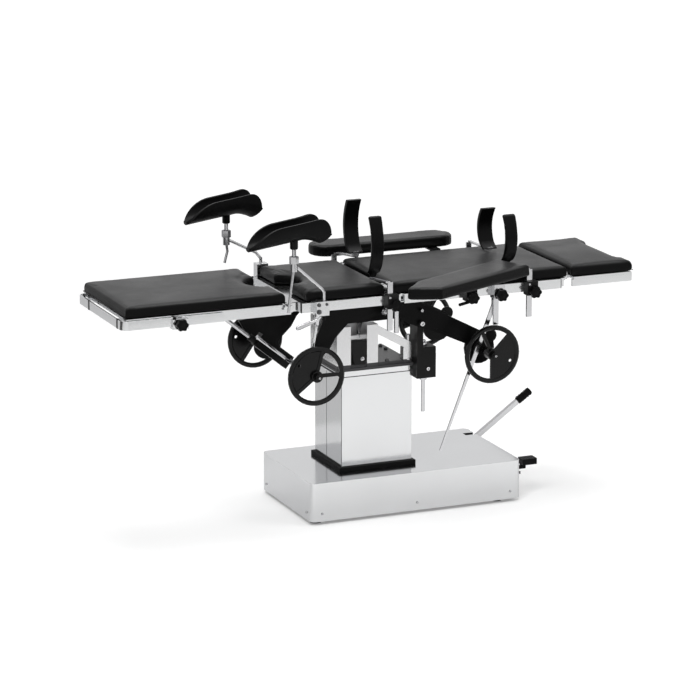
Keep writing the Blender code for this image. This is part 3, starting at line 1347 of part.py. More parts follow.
def pad_foot(pad_x, side, gap, pad_y, bottom):
    middle = side * (pad_y - SUPPORT_FLARE)
    half = SUPPORT_FOOT_HALF
    low = SUPPORT_POST_TOP + SUPPORT_BAR_T + gap
    return box(pad_x - half, pad_x + half, middle - half, middle + half, low, bottom + OVERRUN)


def near_support(name, knob_x, shift, top, axis, frame_axis, extra=()):
    post_x = knob_x - POST_SIDE
    pad_x = post_x + shift
    post_clamp(f"{name}_clamp_near", knob_x, NEAR, frame_axis, extra=extra)
    finish(f"{name}_post_near", support_post(post_x, pad_x, NEAR, SUPPORT_PAD_Y), "chrome", axis)
    place = (SUPPORT_PAD_Y, SUPPORT_PAD_BOTTOM)
    pad = soften(support_pad(pad_x, NEAR, top, *place), SUPPORT_PAD_EDGE)
    finish(f"{name}_pad_near", fuse(pad, pad_foot(pad_x, NEAR, GAP, *place)), "black_vinyl", axis)


def far_support(name, knob_x, shift, top, axis, frame_axis, pad_y, bottom):
    post_x = knob_x - POST_SIDE
    pad_x = post_x + shift
    post_clamp(f"{name}_clamp_far", knob_x, FAR, frame_axis)
    pad = soften(support_pad(pad_x, FAR, top, pad_y, bottom), SUPPORT_PAD_EDGE)
    foot = pad_foot(pad_x, FAR, -LAP, pad_y, bottom)
    piece = fuse(pad, foot, support_post(post_x, pad_x, FAR, pad_y))
    finish(f"{name}_support_far", piece, "black_vinyl", axis)


def supports():
    tube_x = HIP_NEAR_X + POST_SIDE - LAP
    tube_y = -(RAIL_OUT + CLAMP_DEPTH / 2)
    tube = cylinder("Z", (tube_x, tube_y), HIP_TUBE_R, HIP_TUBE_BOTTOM, CLAMP_Z[0] + LAP, SMALL_SIDES)
    near_support("hip", HIP_NEAR_X, HIP_PAD_SHIFT, HIP_TOP, "hip_near_slide", "trend", (tube,))
    near_support("shoulder", SHOULDER_NEAR_X, SHOULDER_PAD_SHIFT, SHOULDER_TOP, "shoulder_near_slide", "back")
    far_support(
        "hip",
        HIP_FAR_X,
        HIP_FAR_SHIFT,
        HIP_FAR_TOP,
        "hip_far_slide",
        "back",
        SUPPORT_PAD_Y,
        SUPPORT_PAD_BOTTOM,
    )
    far_support(
        "shoulder",
        SHOULDER_FAR_X,
        SHOULDER_FAR_SHIFT,
        SHOULDER_FAR_TOP,
        "shoulder_far_slide",
        "back",
        SHOULDER_FAR_PAD_Y,
        SHOULDER_FAR_PAD_BOTTOM,
    )


# Arm boards and the hanging bar


def arm_near():
    post_y = -(POST_IN + POST_T / 2)
    post = post_box(ARM_POST_X, NEAR, ARM_POST_BOTTOM, ARM_Z - GAP - LAP)
    plate_y = sorted((post_y - ARM_PLATE_HALF, -CUSHION_HALF - OVERRUN))
    plate_z = (ARM_Z - GAP - ARM_PLATE_T, ARM_Z - GAP)
    plate = box(ARM_POST_X - ARM_PLATE_HALF, ARM_POST_X + ARM_PLATE_HALF, *plate_y, *plate_z)
    pivot = cylinder("Z", (ARM_POST_X, post_y), ARM_PIVOT_R, plate_z[1] - LAP, ARM_Z + ARM_PIVOT_DEPTH)
    clamp_x0 = ARM_POST_X - POST_SIDE - LAP
    clamp = rail_clamp(clamp_x0, clamp_x0 + CLAMP_W, NEAR)
    pivot_z = CLAMP_Z[0] - BAR_PIVOT_DROP
    tab_y = (BAR_Y[0] + GAP, BAR_Y[0] + GAP + BAR_TAB_T)
    tab_x = (ARM_POST_X - BAR_TAB_HALF, ARM_POST_X + BAR_TAB_HALF)
    tab = box(*tab_x, *tab_y, pivot_z - BAR_TAB_BOTTOM, CLAMP_Z[0] + LAP)
    pin = cylinder("Y", (ARM_POST_X, pivot_z), BAR_PIN_R, BAR_Y[1] - GAP, tab_y[0] + LAP, SMALL_SIDES)
    piece = fuse(clamp, post, plate, pivot, tab, pin)
    cut(piece, stem_bore(ARM_POST_X + POST_SIDE, -(RAIL_OUT + CLAMP_DEPTH)))
    finish("arm_clamp_near", piece, "chrome", "back")
    arm_stay()
    arm_pad_near(post_y)


def arm_stay():
    """The second clamp under the near arm board, with its small lever."""
    half = CLAMP_W / 2
    clamp = rail_clamp(ARM_STAY_X - half, ARM_STAY_X + half, NEAR)
    face = -(RAIL_OUT + CLAMP_DEPTH)
    lever_z = CLAMP_Z[0] - ARM_STAY_LEVER_R / 2
    start = (ARM_STAY_X, face + ARM_STAY_LEVER_R * 2, lever_z)
    end = (ARM_STAY_X - ARM_STAY_LEVER_LENGTH, face, lever_z - ARM_STAY_LEVER_R)
    fuse(clamp, round_bar([start, end], ARM_STAY_LEVER_R))
    finish("arm_stay_clamp", cut(clamp, stem_bore(ARM_STAY_X, face)), "black_paint", "back")


def arm_pad_near(post_y):
    """The board's free end is cut slantwise, with a rounded tip."""
    tip = Vector(ARM_NEAR_TIP)
    before = Vector(ARM_NEAR_BEND)
    after = Vector(ARM_NEAR_SHOULDER)
    toward_bend = (before - tip).normalized() * ARM_TIP_R
    toward_shoulder = (after - tip).normalized() * ARM_TIP_R
    rounded = []
    for i in range(CORNER_STEPS + 1):
        share = i / CORNER_STEPS
        start = tip + toward_bend * (1 - share)
        end = tip + toward_shoulder * share
        rounded.append(tuple(start.lerp(end, share)))
    outline = [ARM_NEAR_OUTER, ARM_NEAR_INNER, ARM_NEAR_SHOULDER] + rounded[::-1] + [ARM_NEAR_BEND]
    board = prism(outline, "Z", ARM_Z, ARM_Z + ARM_T)
    hole = bore("Z", (ARM_POST_X, post_y), ARM_PIVOT_R, ARM_Z - OVERRUN, ARM_Z + ARM_PIVOT_DEPTH + LAP)
    finish("arm_pad_near", cut(soften(board, ARM_EDGE), hole), "black_vinyl", "arm_near_swing")


def arm_far():
    half = CLAMP_W / 2
    clamp = rail_clamp(ARM_FAR_CLAMP_X - half, ARM_FAR_CLAMP_X + half, FAR)
    pivot_y = far_arm_pivot_y()
    shelf_z = (ARM_FAR_Z - GAP - ARM_PLATE_T, ARM_FAR_Z - GAP)
    wall = box(
        ARM_FAR_CLAMP_X - half,
        ARM_FAR_CLAMP_X + half,
        RAIL_OUT + CLAMP_DEPTH - POST_T,
        RAIL_OUT + CLAMP_DEPTH,
        CLAMP_Z[1] - LAP,
        shelf_z[1],
    )
    shelf = box(
        ARM_FAR_CLAMP_X - half,
        ARM_FAR_CLAMP_X + half,
        RAIL_OUT + CLAMP_DEPTH - POST_T,
        pivot_y + ARM_PLATE_HALF,
        *shelf_z,
    )
    centre = (ARM_FAR_CLAMP_X, pivot_y)
    pivot = cylinder("Z", centre, ARM_PIVOT_R, shelf_z[1] - LAP, ARM_FAR_Z + ARM_PIVOT_DEPTH)
    finish("arm_bracket_far", fuse(clamp, wall, shelf, pivot), "black_paint", "back")
    outline = rounded_rectangle(*ARM_FAR_X, *ARM_FAR_Y, ARM_FAR_END_R)
    board = prism(outline, "Z", ARM_FAR_Z, ARM_FAR_Z + ARM_T)
    hole = bore("Z", centre, ARM_PIVOT_R, ARM_FAR_Z - OVERRUN, ARM_FAR_Z + ARM_PIVOT_DEPTH + LAP)
    finish("arm_pad_far", cut(soften(board, ARM_EDGE), hole), "black_vinyl", "arm_far_swing")


def hanging_bar():
    """A flat bar that narrows downwards and leans back from its pivot."""
    pivot = Vector((ARM_POST_X, CLAMP_Z[0] - BAR_PIVOT_DROP))
    along = Vector((math.cos(BAR_ANGLE), math.sin(BAR_ANGLE)))
    across = Vector((-along.y, along.x))
    end = pivot + along * BAR_LENGTH
    outline = [
        tuple(pivot - across * BAR_TOP_HALF),
        tuple(pivot + across * BAR_TOP_HALF),
        tuple(end + across * BAR_END_HALF),
        tuple(end - across * BAR_END_HALF),
    ]
    bar = prism(outline, "Y", *BAR_Y)
    eye = cylinder("Y", tuple(pivot), BAR_TOP_HALF, *BAR_Y)
    fuse(bar, eye)
    cut(bar, bore("Y", tuple(pivot), BAR_PIN_R, BAR_Y[0] + OVERRUN, BAR_Y[1] - OVERRUN, SMALL_SIDES))
    finish("hanging_bar", bar, "chrome", "bar_swing")


# Leg crutches


def crutch_pad(name, stem_x, y, axis):
    """A trough for the leg that opens into a flared lip at its head end."""
    start_x = stem_x - CRUTCH_PAD_LENGTH * CRUTCH_PAD_FOOT_SHARE

    def section(share, shrink):
        x = start_x + CRUTCH_PAD_LENGTH * share
        flare = max(0, (share - CRUTCH_FLARE_START_SHARE) / (1 - CRUTCH_FLARE_START_SHARE)) ** 1.6
        close = min(1, share / 0.22)
        reach = CRUTCH_END_ANGLE + (CRUTCH_RIM_ANGLE - CRUTCH_END_ANGLE) * math.sin(close * math.pi / 2)
        half = CRUTCH_PAD_HALF + CRUTCH_FLARE_OUT * flare - shrink
        depth = CRUTCH_PAD_DEPTH + CRUTCH_FLARE_DROP * flare - shrink
        bottom = CRUTCH_PAD_Z + CRUTCH_PAD_SLOPE * (x - stem_x) - CRUTCH_FLARE_DROP * flare + shrink
        points = []
        for k in range(CRUTCH_AROUND + 1):
            turn = reach * (2 * k / CRUTCH_AROUND - 1)
            points.append((x, y + half * math.sin(turn), bottom + depth * (1 - math.cos(turn))))
        return points

    shares = [i / CRUTCH_STATIONS for i in range(CRUTCH_STATIONS + 1)]
    work = bmesh.new()
    skins = []
    for shrink in (0, CRUTCH_PAD_T):
        skins.append([[work.verts.new(point) for point in section(share, shrink)] for share in shares])
    for skin in skins:
        for low, high in zip(skin, skin[1:]):
            for k in range(CRUTCH_AROUND):
                work.faces.new((low[k], low[k + 1], high[k + 1], high[k]))
    outer, inner = skins
    for a, b, c, d in zip(outer, outer[1:], inner, inner[1:]):
        for k in (0, -1):
            work.faces.new((a[k], b[k], d[k], c[k]))
    for a, c in ((outer[0], inner[0]), (outer[-1], inner[-1])):
        for k in range(CRUTCH_AROUND):
            work.faces.new((a[k], a[k + 1], c[k + 1], c[k]))
    trough = solid(work)
    top = CRUTCH_PAD_Z + CRUTCH_PAD_T / 2
    socket = cylinder("Z", (stem_x, y), CRUTCH_SOCKET_R, CRUTCH_SOCKET_Z, top)
    stem_bottom = CRUTCH_BLOCK_Z[1] - CRUTCH_STEM_DEPTH
    stem = cylinder("Z", (stem_x, y), CRUTCH_STEM_R, stem_bottom, CRUTCH_SOCKET_Z + LAP, SMALL_SIDES)
    finish(name, fuse(trough, socket, stem), "black_plastic", axis)


def crutch_rod(name, side, clamp_x, bend, handle, stem_x, axis):
    y = side * CRUTCH_ROD_Y
    path = [(clamp_x, y, CRUTCH_ROD_BOTTOM)] + [(x, y, z) for x, z in bend]
    rod = round_bar(path, CRUTCH_ROD_R)
    block = cylinder("Z", (stem_x, y), CRUTCH_BLOCK_R, *CRUTCH_BLOCK_Z)
    collar_z = (CRUTCH_BLOCK_Z[1] - CRUTCH_COLLAR_T, CRUTCH_BLOCK_Z[1])
    collar = cylinder("Z", (stem_x, y), CRUTCH_COLLAR_R, *collar_z, 6)
    grip = round_bar([(x, y, z) for x, z in handle], CRUTCH_HANDLE_R)
    fuse(rod, block, collar, grip)
    bottom = CRUTCH_BLOCK_Z[1] - CRUTCH_STEM_DEPTH - LAP
    hole = bore("Z", (stem_x, y), CRUTCH_STEM_R, bottom, CRUTCH_BLOCK_Z[1] + OVERRUN, SMALL_SIDES)
    finish(name, cut(rod, hole), "chrome", axis)


def crutch_clamp(name, side, span, rod_x, top, extra):
    clamp = rail_clamp(*span, side, top)
    if extra:
        fuse(clamp, *extra)
    hole = bore(
        "Z", (rod_x, side * CRUTCH_ROD_Y), CRUTCH_ROD_R, CLAMP_Z[0] - OVERRUN, top + OVERRUN, SMALL_SIDES
    )
    finish(name, cut(clamp, hole), "cast_grey", "trend")


def crutches():
    y = -(RAIL_OUT + CLAMP_DEPTH / 2)
    front = -(RAIL_OUT + CLAMP_DEPTH - CRUTCH_LEVER_R)
    lever = round_bar([(x, front, z) for x, z in CRUTCH_LEVER], CRUTCH_LEVER_R)
    tail = round_bar([(x, y, z) for x, z in CRUTCH_TAIL], CRUTCH_TAIL_R)
    near_x = CRUTCH_NEAR_ROD[0][0]
    far_x = CRUTCH_FAR_ROD[0][0]
    crutch_clamp("crutch_clamp_near", NEAR, CRUTCH_CLAMP_NEAR_X, near_x, CLAMP_Z[1], (lever, tail))
    crutch_clamp("crutch_clamp_far", FAR, CRUTCH_CLAMP_FAR_X, far_x, CRUTCH_CLAMP_FAR_TOP, ())
    crutch_rod(
        "crutch_rod_near",
        NEAR,
        near_x,
        CRUTCH_NEAR_ROD,
        CRUTCH_NEAR_HANDLE,
        CRUTCH_NEAR_STEM_X,
        "crutch_near_swing",
    )
    crutch_rod(
        "crutch_rod_far", FAR, far_x, CRUTCH_FAR_ROD, CRUTCH_FAR_HANDLE, CRUTCH_FAR_STEM_X, "crutch_far_swing"
    )
    crutch_pad("crutch_pad_near", CRUTCH_NEAR_STEM_X, -CRUTCH_ROD_Y, "crutch_near_turn")
    crutch_pad("crutch_pad_far", CRUTCH_FAR_STEM_X, CRUTCH_ROD_Y, "crutch_far_turn")


def centre_on_floor():
    """Move the root so that the origin lies under the middle of the part's floor plan."""
    bpy.context.view_layer.update()
    corners = [
        piece.matrix_world @ Vector(corner)
        for piece in bpy.data.objects
        if piece.type == "MESH"
        for corner in piece.bound_box
    ]
    middle = [(min(c[i] for c in corners) + max(c[i] for c in corners)) / 2 for i in range(2)]
    AXES["root"][0].location = (-middle[0], -middle[1], 0)


def main():
    for old in list(bpy.data.objects):
        bpy.data.objects.remove(old)
    add_axes()
    base_casting()
    base_cover()
    column_gasket()
    column_outer_cover()
    lift_cylinder()
    pump_body()
    pump_lever()
    release_pedal()
    column_inner_cover()
    column_yoke()
    tilt_cross()
    tilt_jack()
    main_frame()
    side_plate("side_plate_near", NEAR, LEG_ARM_OUTER_SHARES)
    side_plate("side_plate_far", FAR, FAR_ARM_OUTER_SHARES)
    shafts()
    handwheels()
    stay()
    cushions()
    leg_frame()
    leg_end_rail()
    back_frame()
    head_frame()
    knobs()
    supports()
    arm_near()
    arm_far()
    hanging_bar()
    crutches()
    centre_on_floor()


main()
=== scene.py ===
"""Hydraulic operating table: looks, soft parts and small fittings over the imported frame."""
import math

import bmesh
import bpy
from mathutils import Matrix, Vector

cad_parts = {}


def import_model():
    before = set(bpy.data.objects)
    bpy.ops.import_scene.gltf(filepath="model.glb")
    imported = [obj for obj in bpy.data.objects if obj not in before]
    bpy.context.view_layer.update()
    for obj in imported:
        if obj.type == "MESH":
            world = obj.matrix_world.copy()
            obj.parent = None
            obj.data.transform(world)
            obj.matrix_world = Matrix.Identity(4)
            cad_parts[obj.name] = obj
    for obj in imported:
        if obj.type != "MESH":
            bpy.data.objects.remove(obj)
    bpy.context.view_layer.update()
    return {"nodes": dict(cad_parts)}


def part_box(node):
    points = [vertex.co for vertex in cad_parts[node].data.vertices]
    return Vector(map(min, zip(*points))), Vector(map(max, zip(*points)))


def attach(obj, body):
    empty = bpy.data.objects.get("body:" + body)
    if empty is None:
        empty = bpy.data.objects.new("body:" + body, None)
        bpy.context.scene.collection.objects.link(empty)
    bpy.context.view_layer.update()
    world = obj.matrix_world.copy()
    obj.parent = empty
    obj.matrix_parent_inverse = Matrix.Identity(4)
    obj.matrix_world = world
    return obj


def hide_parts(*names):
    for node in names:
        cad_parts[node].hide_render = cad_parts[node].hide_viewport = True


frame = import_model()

NODES = frame["nodes"]

# The table's own layout starts on the floor, under the back section's hinge line
BASE_LOW, BASE_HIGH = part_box("base_cover")
COLUMN_TO_BASE_MIDDLE = 0.117
BASE_MIDDLE = (BASE_LOW + BASE_HIGH) / 2
ORIGIN = Vector((BASE_MIDDLE.x - COLUMN_TO_BASE_MIDDLE, BASE_MIDDLE.y, 0))

# Camera, as the photograph was taken
CAMERA_PLACE = (-4.956, -11.598, 3.746)
CAMERA_TURN = math.radians(22.91)
CAMERA_DIP = math.radians(14.03)
CAMERA_FOCAL_PIXELS = 3412
IMAGE_PIXELS = 700
SENSOR = 36.0

# Fine edges and finishes
EDGE_WIDTH = 0.0007
EDGE_WIDTHS = {"tilt_jack_housing": 0.006}
SHARP_ANGLE = math.radians(35)
WELD = 0.00001
FLAT_WEIGHT = 80

# Padding
VOXEL = 0.0055
SHRINK = 0.0015
SWELL_CAP = 0.0026
CLOTH_FRAMES = 16
CLOTH_PRESSURE = 3.0
WELT_R = 0.0016
WELT_CLEAR = 0.006
WELT_SHARE = 0.12
TABLE_CUSHIONS = (
    ("leg_cushion", "leg_section", 0),
    ("seat_cushion", "table", 0),
    ("back_cushion", "back_section", 1),
    ("head_cushion", "head_section", -1),
)

WHITE = (1.0, 1.0, 1.0)

# Heights at which a solid's finish changes: the far supports' padding, the yoke's dark flange
PAD_COVER_FROM = 0.940
YOKE_DARK_TO = 0.5765


# Materials


class Surface:
    """A Principled material, with the nodes that vary it over the surface."""

    def __init__(self, name, colour, roughness, metallic=0.0):
        self.material = bpy.data.materials.new(name)
        self.material.use_nodes = True
        self.tree = self.material.node_tree
        self.shader = self.tree.nodes["Principled BSDF"]
        self.shader.inputs["Base Color"].default_value = (*colour, 1)
        self.shader.inputs["Roughness"].default_value = roughness
        self.shader.inputs["Metallic"].default_value = metallic
        source = self.tree.nodes.new("ShaderNodeTexCoord")
        self.place = source.outputs["Object"]
        self.facing = source.outputs["Normal"]

    def stretched(self, scale):
        """The place, scaled apart along each axis."""
        mapping = self.tree.nodes.new("ShaderNodeMapping")
        mapping.inputs["Scale"].default_value = scale
        self.tree.links.new(self.place, mapping.inputs["Vector"])
        return mapping.outputs["Vector"]

    def noise(self, scale, detail=4.0, place=None):
        node = self.tree.nodes.new("ShaderNodeTexNoise")
        node.inputs["Scale"].default_value = scale
        node.inputs["Detail"].default_value = detail
        self.tree.links.new(place or self.place, node.inputs["Vector"])
        return node.outputs["Fac"]

    def cells(self, scale):
        node = self.tree.nodes.new("ShaderNodeTexVoronoi")
        node.feature = "DISTANCE_TO_EDGE"
        node.inputs["Scale"].default_value = scale
        self.tree.links.new(self.place, node.inputs["Vector"])
        return node.outputs["Distance"]

    def spread(self, value, low, high, source=(0.0, 1.0)):
        node = self.tree.nodes.new("ShaderNodeMapRange")
        node.inputs["From Min"].default_value = source[0]
        node.inputs["From Max"].default_value = source[1]
        node.inputs["To Min"].default_value = low
        node.inputs["To Max"].default_value = high
        self.tree.links.new(value, node.inputs["Value"])
        return node.outputs["Result"]

    def edges(self, reach):
        """High where the surface turns a convex edge, for wear."""
        node = self.tree.nodes.new("ShaderNodeNewGeometry")
        return self.spread(node.outputs["Pointiness"], 0.0, 1.0, (0.5, 0.5 + reach))

    def mix(self, factor, first, second):
        node = self.tree.nodes.new("ShaderNodeMix")
        node.data_type = "RGBA"
        self.tree.links.new(factor, node.inputs["Factor"])
        node.inputs["A"].default_value = (*first, 1)
        node.inputs["B"].default_value = (*second, 1)
        return node.outputs["Result"]

    def colours(self, value):
        self.tree.links.new(value, self.shader.inputs["Base Color"])

    def roughness(self, value):
        self.tree.links.new(value, self.shader.inputs["Roughness"])

    def bump(self, height, depth, strength=1.0):
        node = self.tree.nodes.new("ShaderNodeBump")
        node.inputs["Strength"].default_value = strength
        node.inputs["Distance"].default_value = depth
        self.tree.links.new(height, node.inputs["Height"])
        before = self.shader.inputs["Normal"].links
        if before:
            self.tree.links.new(before[0].from_socket, node.inputs["Normal"])
        self.tree.links.new(node.outputs["Normal"], self.shader.inputs["Normal"])

    def constant(self, **values):
        for socket, value in values.items():
            self.shader.inputs[socket.replace("_", " ")].default_value = value


def scaled(colour, share):
    """A colour made darker or paler."""
    return tuple(channel * share for channel in colour)


def brushed(name, grain, roughness=(0.11, 0.18)):
    """Stainless sheet with a fine brushed grain; grain holds the stretch along each axis."""
    steel = (0.635, 0.64, 0.645)
    surface = Surface(name, steel, roughness[0], 1.0)
    lines = surface.noise(1.0, 3.0, surface.stretched(grain))
    cloud = surface.noise(5.0, 2.0)
    surface.roughness(surface.spread(lines, *roughness, (0.3, 0.7)))
    surface.colours(surface.mix(cloud, scaled(steel, 0.96), scaled(steel, 1.04)))
    surface.bump(lines, 0.00002, 0.12)
    surface.constant(Specular_Tint=(0.85, 0.85, 0.86, 1))
    return surface.material


def chrome(name="bright_chrome", plate=(0.56, 0.56, 0.57)):
    """Plated steel with faint smears; a dark specular tint paints its edges darker, a painted
    reflection of dark surroundings.
    """
    surface = Surface(name, plate, 0.1, 1.0)
    smears = surface.noise(60.0, 3.0)
    surface.roughness(surface.spread(smears, 0.07, 0.19))
    surface.colours(surface.mix(surface.noise(9.0, 2.0), scaled(plate, 0.88), plate))
    # Dark specular tint: painted dark reflection along the edges.
    surface.constant(Specular_Tint=(0.25, 0.25, 0.26, 1))
    return surface.material


def cast_metal(name="cast_alloy", shade=(0.50, 0.50, 0.505)):
    """Cast alloy with a fine grit."""
    surface = Surface(name, shade, 0.45, 0.75)
    grit = surface.noise(700.0, 3.0)
    surface.roughness(surface.spread(grit, 0.34, 0.52))
    surface.colours(surface.mix(surface.noise(18.0, 4.0), scaled(shade, 0.8), scaled(shade, 1.15)))
    surface.bump(grit, 0.00006, 0.2)
    return surface.material


def height_split(name, level, below, above, metal_above):
    """Two finishes on one solid, split at a height: metal on one side, black cover on the other."""
    surface = Surface(name, below, 0.3, 1.0)
    axes = surface.tree.nodes.new("ShaderNodeSeparateXYZ")
    surface.tree.links.new(surface.place, axes.inputs["Vector"])
    over = surface.spread(axes.outputs["Z"], 0.0, 1.0, (level - 0.0005, level + 0.0005))
    surface.colours(surface.mix(over, below, above))
    metal = surface.spread(over, *((0.0, 1.0) if metal_above else (1.0, 0.0)))
    surface.tree.links.new(metal, surface.shader.inputs["Metallic"])
    surface.roughness(surface.spread(surface.noise(60.0, 3.0), 0.20, 0.30))
    surface.bump(surface.noise(900.0, 2.0), 0.00003, 0.1)
    surface.constant(Specular_IOR_Level=0.08)
    return surface.material


def black_paint():
    """Satin enamel with a fine orange peel, thin on its edges."""
    surface = Surface("black_enamel", (0.0015, 0.0015, 0.0016), 0.3)
    edge_wear_and_painted_top_light = surface.mix(surface.edges(0.06), (0.0014, 0.0014, 0.0015), (0.012, 0.012, 0.012))
    surface.colours(edge_wear_and_painted_top_light)
    surface.roughness(surface.spread(surface.noise(40.0, 3.0), 0.24, 0.38))
    surface.bump(surface.noise(420.0, 2.0), 0.0002, 0.18)
    surface.constant(Specular_IOR_Level=0.08)
    return surface.material


def black_plastic(name="black_plastic", roughness=(0.24, 0.40), gloss=0.08):
    """Moulded black plastic, with the share of gloss that each moulding has."""
    surface = Surface(name, (0.0015, 0.0015, 0.0016), roughness[0])
    cloud = surface.noise(25.0, 3.0)
    surface.colours(surface.mix(cloud, (0.0012, 0.0012, 0.0013), (0.003, 0.003, 0.0031)))
    surface.roughness(surface.spread(surface.noise(90.0, 4.0), *roughness))
    surface.bump(surface.noise(1500.0, 2.0), 0.0001, 0.15)
    surface.constant(Specular_IOR_Level=gloss)
    return surface.material


def vinyl(name="black_leathercloth", top=0.021, side=0.0012, gloss=0.09):
    """Black leathercloth: small pebbles and soft creases; upward faces are painted paler as painted
    light, the sides darker as painted shade.
    """
    surface = Surface(name, (top, top, top), 0.36)
    pebbles = surface.cells(620.0)
    pores = surface.noise(1700.0, 2.0)
    cloud = surface.noise(6.0, 5.0)
    upward = surface.tree.nodes.new("ShaderNodeSeparateXYZ")
    surface.tree.links.new(surface.facing, upward.inputs["Vector"])
    # Mixed by facing: the paler top colour is painted light, the darker side colour is painted
    # shade.
    edge_wear_and_painted_top_light = surface.spread(upward.outputs["Z"], 0.0, 1.0, (0.55, 0.98))
    surface.colours(surface.mix(edge_wear_and_painted_top_light, (side, side, side * 1.05), (top, top, top * 1.02)))
    surface.roughness(surface.spread(cloud, 0.32, 0.44, (0.3, 0.7)))
    surface.bump(surface.noise(14.0, 3.0), 0.0010, 0.12)
    surface.bump(surface.spread(pebbles, 0.0, 1.0, (0.0, 0.25)), 0.00016, 0.3)
    surface.bump(pores, 0.0001, 0.2)
    surface.constant(Specular_IOR_Level=gloss)
    return surface.material


def rubber():
    """Matte black rubber."""
    surface = Surface("black_rubber", (0.004, 0.004, 0.004), 0.7)
    cloud = surface.noise(30.0, 3.0)
    surface.colours(surface.mix(cloud, (0.002, 0.002, 0.002), (0.005, 0.005, 0.005)))
    surface.roughness(surface.spread(surface.noise(50.0, 4.0), 0.5, 0.72))
    surface.bump(surface.noise(900.0, 2.0), 0.0002, 0.3)
    surface.constant(Specular_IOR_Level=0.1)
    return surface.material


LOOKS = {}


def make_materials():
    """Every finish, by its look's name."""
    LOOKS["sheet_x"] = brushed("brushed_sheet_lengthwise", (6, 900, 900))
    LOOKS["sheet_z"] = brushed("brushed_sheet_upright", (900, 900, 6))
    LOOKS["bar"] = brushed("brushed_bar", (12, 1400, 1400), (0.14, 0.24))
    LOOKS["chrome"] = chrome()
    LOOKS["cast"] = cast_metal()
    LOOKS["dark_cast"] = cast_metal("dark_alloy", (0.10, 0.10, 0.103))
    LOOKS["paint"] = black_paint()
    LOOKS["plastic"] = black_plastic()
    LOOKS["wheel"] = black_plastic("wheel_plastic", (0.18, 0.30), 0.2)
    LOOKS["vinyl"] = vinyl()
    LOOKS["moulded"] = black_plastic("moulded_foam_skin", (0.34, 0.50))
    LOOKS["rubber"] = rubber()
    LOOKS["support"] = height_split(
        "support_post", PAD_COVER_FROM, (0.52, 0.52, 0.53), (0.004, 0.004, 0.004), False
    )
    LOOKS["yoke"] = height_split(
        "yoke_casting", YOKE_DARK_TO, (0.05, 0.05, 0.052), (0.60, 0.60, 0.605), True
    )


NODE_LOOKS = {
    "sheet_x": ("base_cover", "main_frame", "leg_frame", "back_frame", "head_frame"),
    "sheet_z": ("column_outer_cover", "column_inner_cover"),
    "bar": ("leg_end_rail", "crutch_clamp_near", "crutch_clamp_far"),
    "chrome": (
        "pump_lever",
        "tilt_screw",
        "leg_wheel_shaft",
        "back_wheel_shaft",
        "stay_rod",
        "hip_post_near",
        "shoulder_post_near",
        "arm_clamp_near",
        "hanging_bar",
        "crutch_rod_near",
        "crutch_rod_far",
    ),
    "support": ("hip_support_far", "shoulder_support_far"),
    "yoke": ("column_yoke",),
    "cast": ("tilt_cross",),
    "dark_cast": ("base_casting", "lift_cylinder", "pump_body"),
    "paint": (
        "side_plate_near",
        "side_plate_far",
        "stay_sleeve",
        "tilt_jack_housing",
        "hip_clamp_near",
        "hip_clamp_far",
        "shoulder_clamp_near",
        "shoulder_clamp_far",
        "arm_stay_clamp",
        "arm_bracket_far",
    ),
    "wheel": ("leg_wheel_near", "leg_wheel_far", "back_wheel_near", "back_wheel_far"),
    "plastic": (
        "release_pedal",
        "leg_rail_knob",
        "hip_knob_near",
        "arm_knob_near",
        "arm_stay_knob",
        "shoulder_knob_near",
    ),
    "rubber": ("column_gasket", "pump_lever_pad"),
    "moulded": ("crutch_pad_near", "crutch_pad_far"),
}


def dress(piece, look):
    """Give a piece one finish."""
    piece.data.materials.clear()
    piece.data.materials.append(LOOKS[look])


def dress_nodes():
    """Finish and fine edges for every solid that scene.py doesn't replace."""
    for look, names in NODE_LOOKS.items():
        for name in names:
            node = NODES[name]
            dress(node, look)
            weld = node.modifiers.new("weld", "WELD")
            weld.merge_threshold = WELD
            edge = node.modifiers.new("edge", "BEVEL")
            edge.width = EDGE_WIDTHS.get(name, EDGE_WIDTH)
            edge.segments = 2
            edge.limit_method = "ANGLE"
            edge.angle_limit = SHARP_ANGLE
            flat = node.modifiers.new("flat", "WEIGHTED_NORMAL")
            flat.weight = FLAT_WEIGHT
            node.data.shade_smooth()


# Building blocks for pieces


def piece_from(work, name, look, body):
    """The object made from a finished mesh, dressed and riding a body."""
    mesh = bpy.data.meshes.new(name)
    bmesh.ops.recalc_face_normals(work, faces=work.faces)
    work.to_mesh(mesh)
    work.free()
    piece = bpy.data.objects.new(name, mesh)
    bpy.context.scene.collection.objects.link(piece)
    mesh.shade_smooth()
    mesh.set_sharp_from_angle(angle=SHARP_ANGLE)
    dress(piece, look)
    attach(piece, body)
    return piece


def lathe(name, profile, place, axis, look, body, sides=32):
    """Turn a profile of (radius, height) about an axis through place."""
    axis = Vector(axis).normalized()
    across = axis.orthogonal().normalized()
    up = axis.cross(across)
    work = bmesh.new()
    rings = []
    for radius, height in profile:
        middle = Vector(place) + axis * height
        if radius == 0:
            rings.append([work.verts.new(middle)])
            continue
        ring = []
        for i in range(sides):
            turn = math.tau * i / sides
            out = math.cos(turn) * across + math.sin(turn) * up
            ring.append(work.verts.new(middle + radius * out))
        rings.append(ring)
    for low, high in zip(rings, rings[1:]):
        for i in range(sides):
            j = (i + 1) % sides
            if len(low) == 1:
                work.faces.new((low[0], high[j], high[i]))
            elif len(high) == 1:
                work.faces.new((low[i], low[j], high[0]))
            else:
                work.faces.new((low[i], low[j], high[j], high[i]))
    return piece_from(work, name, look, body)


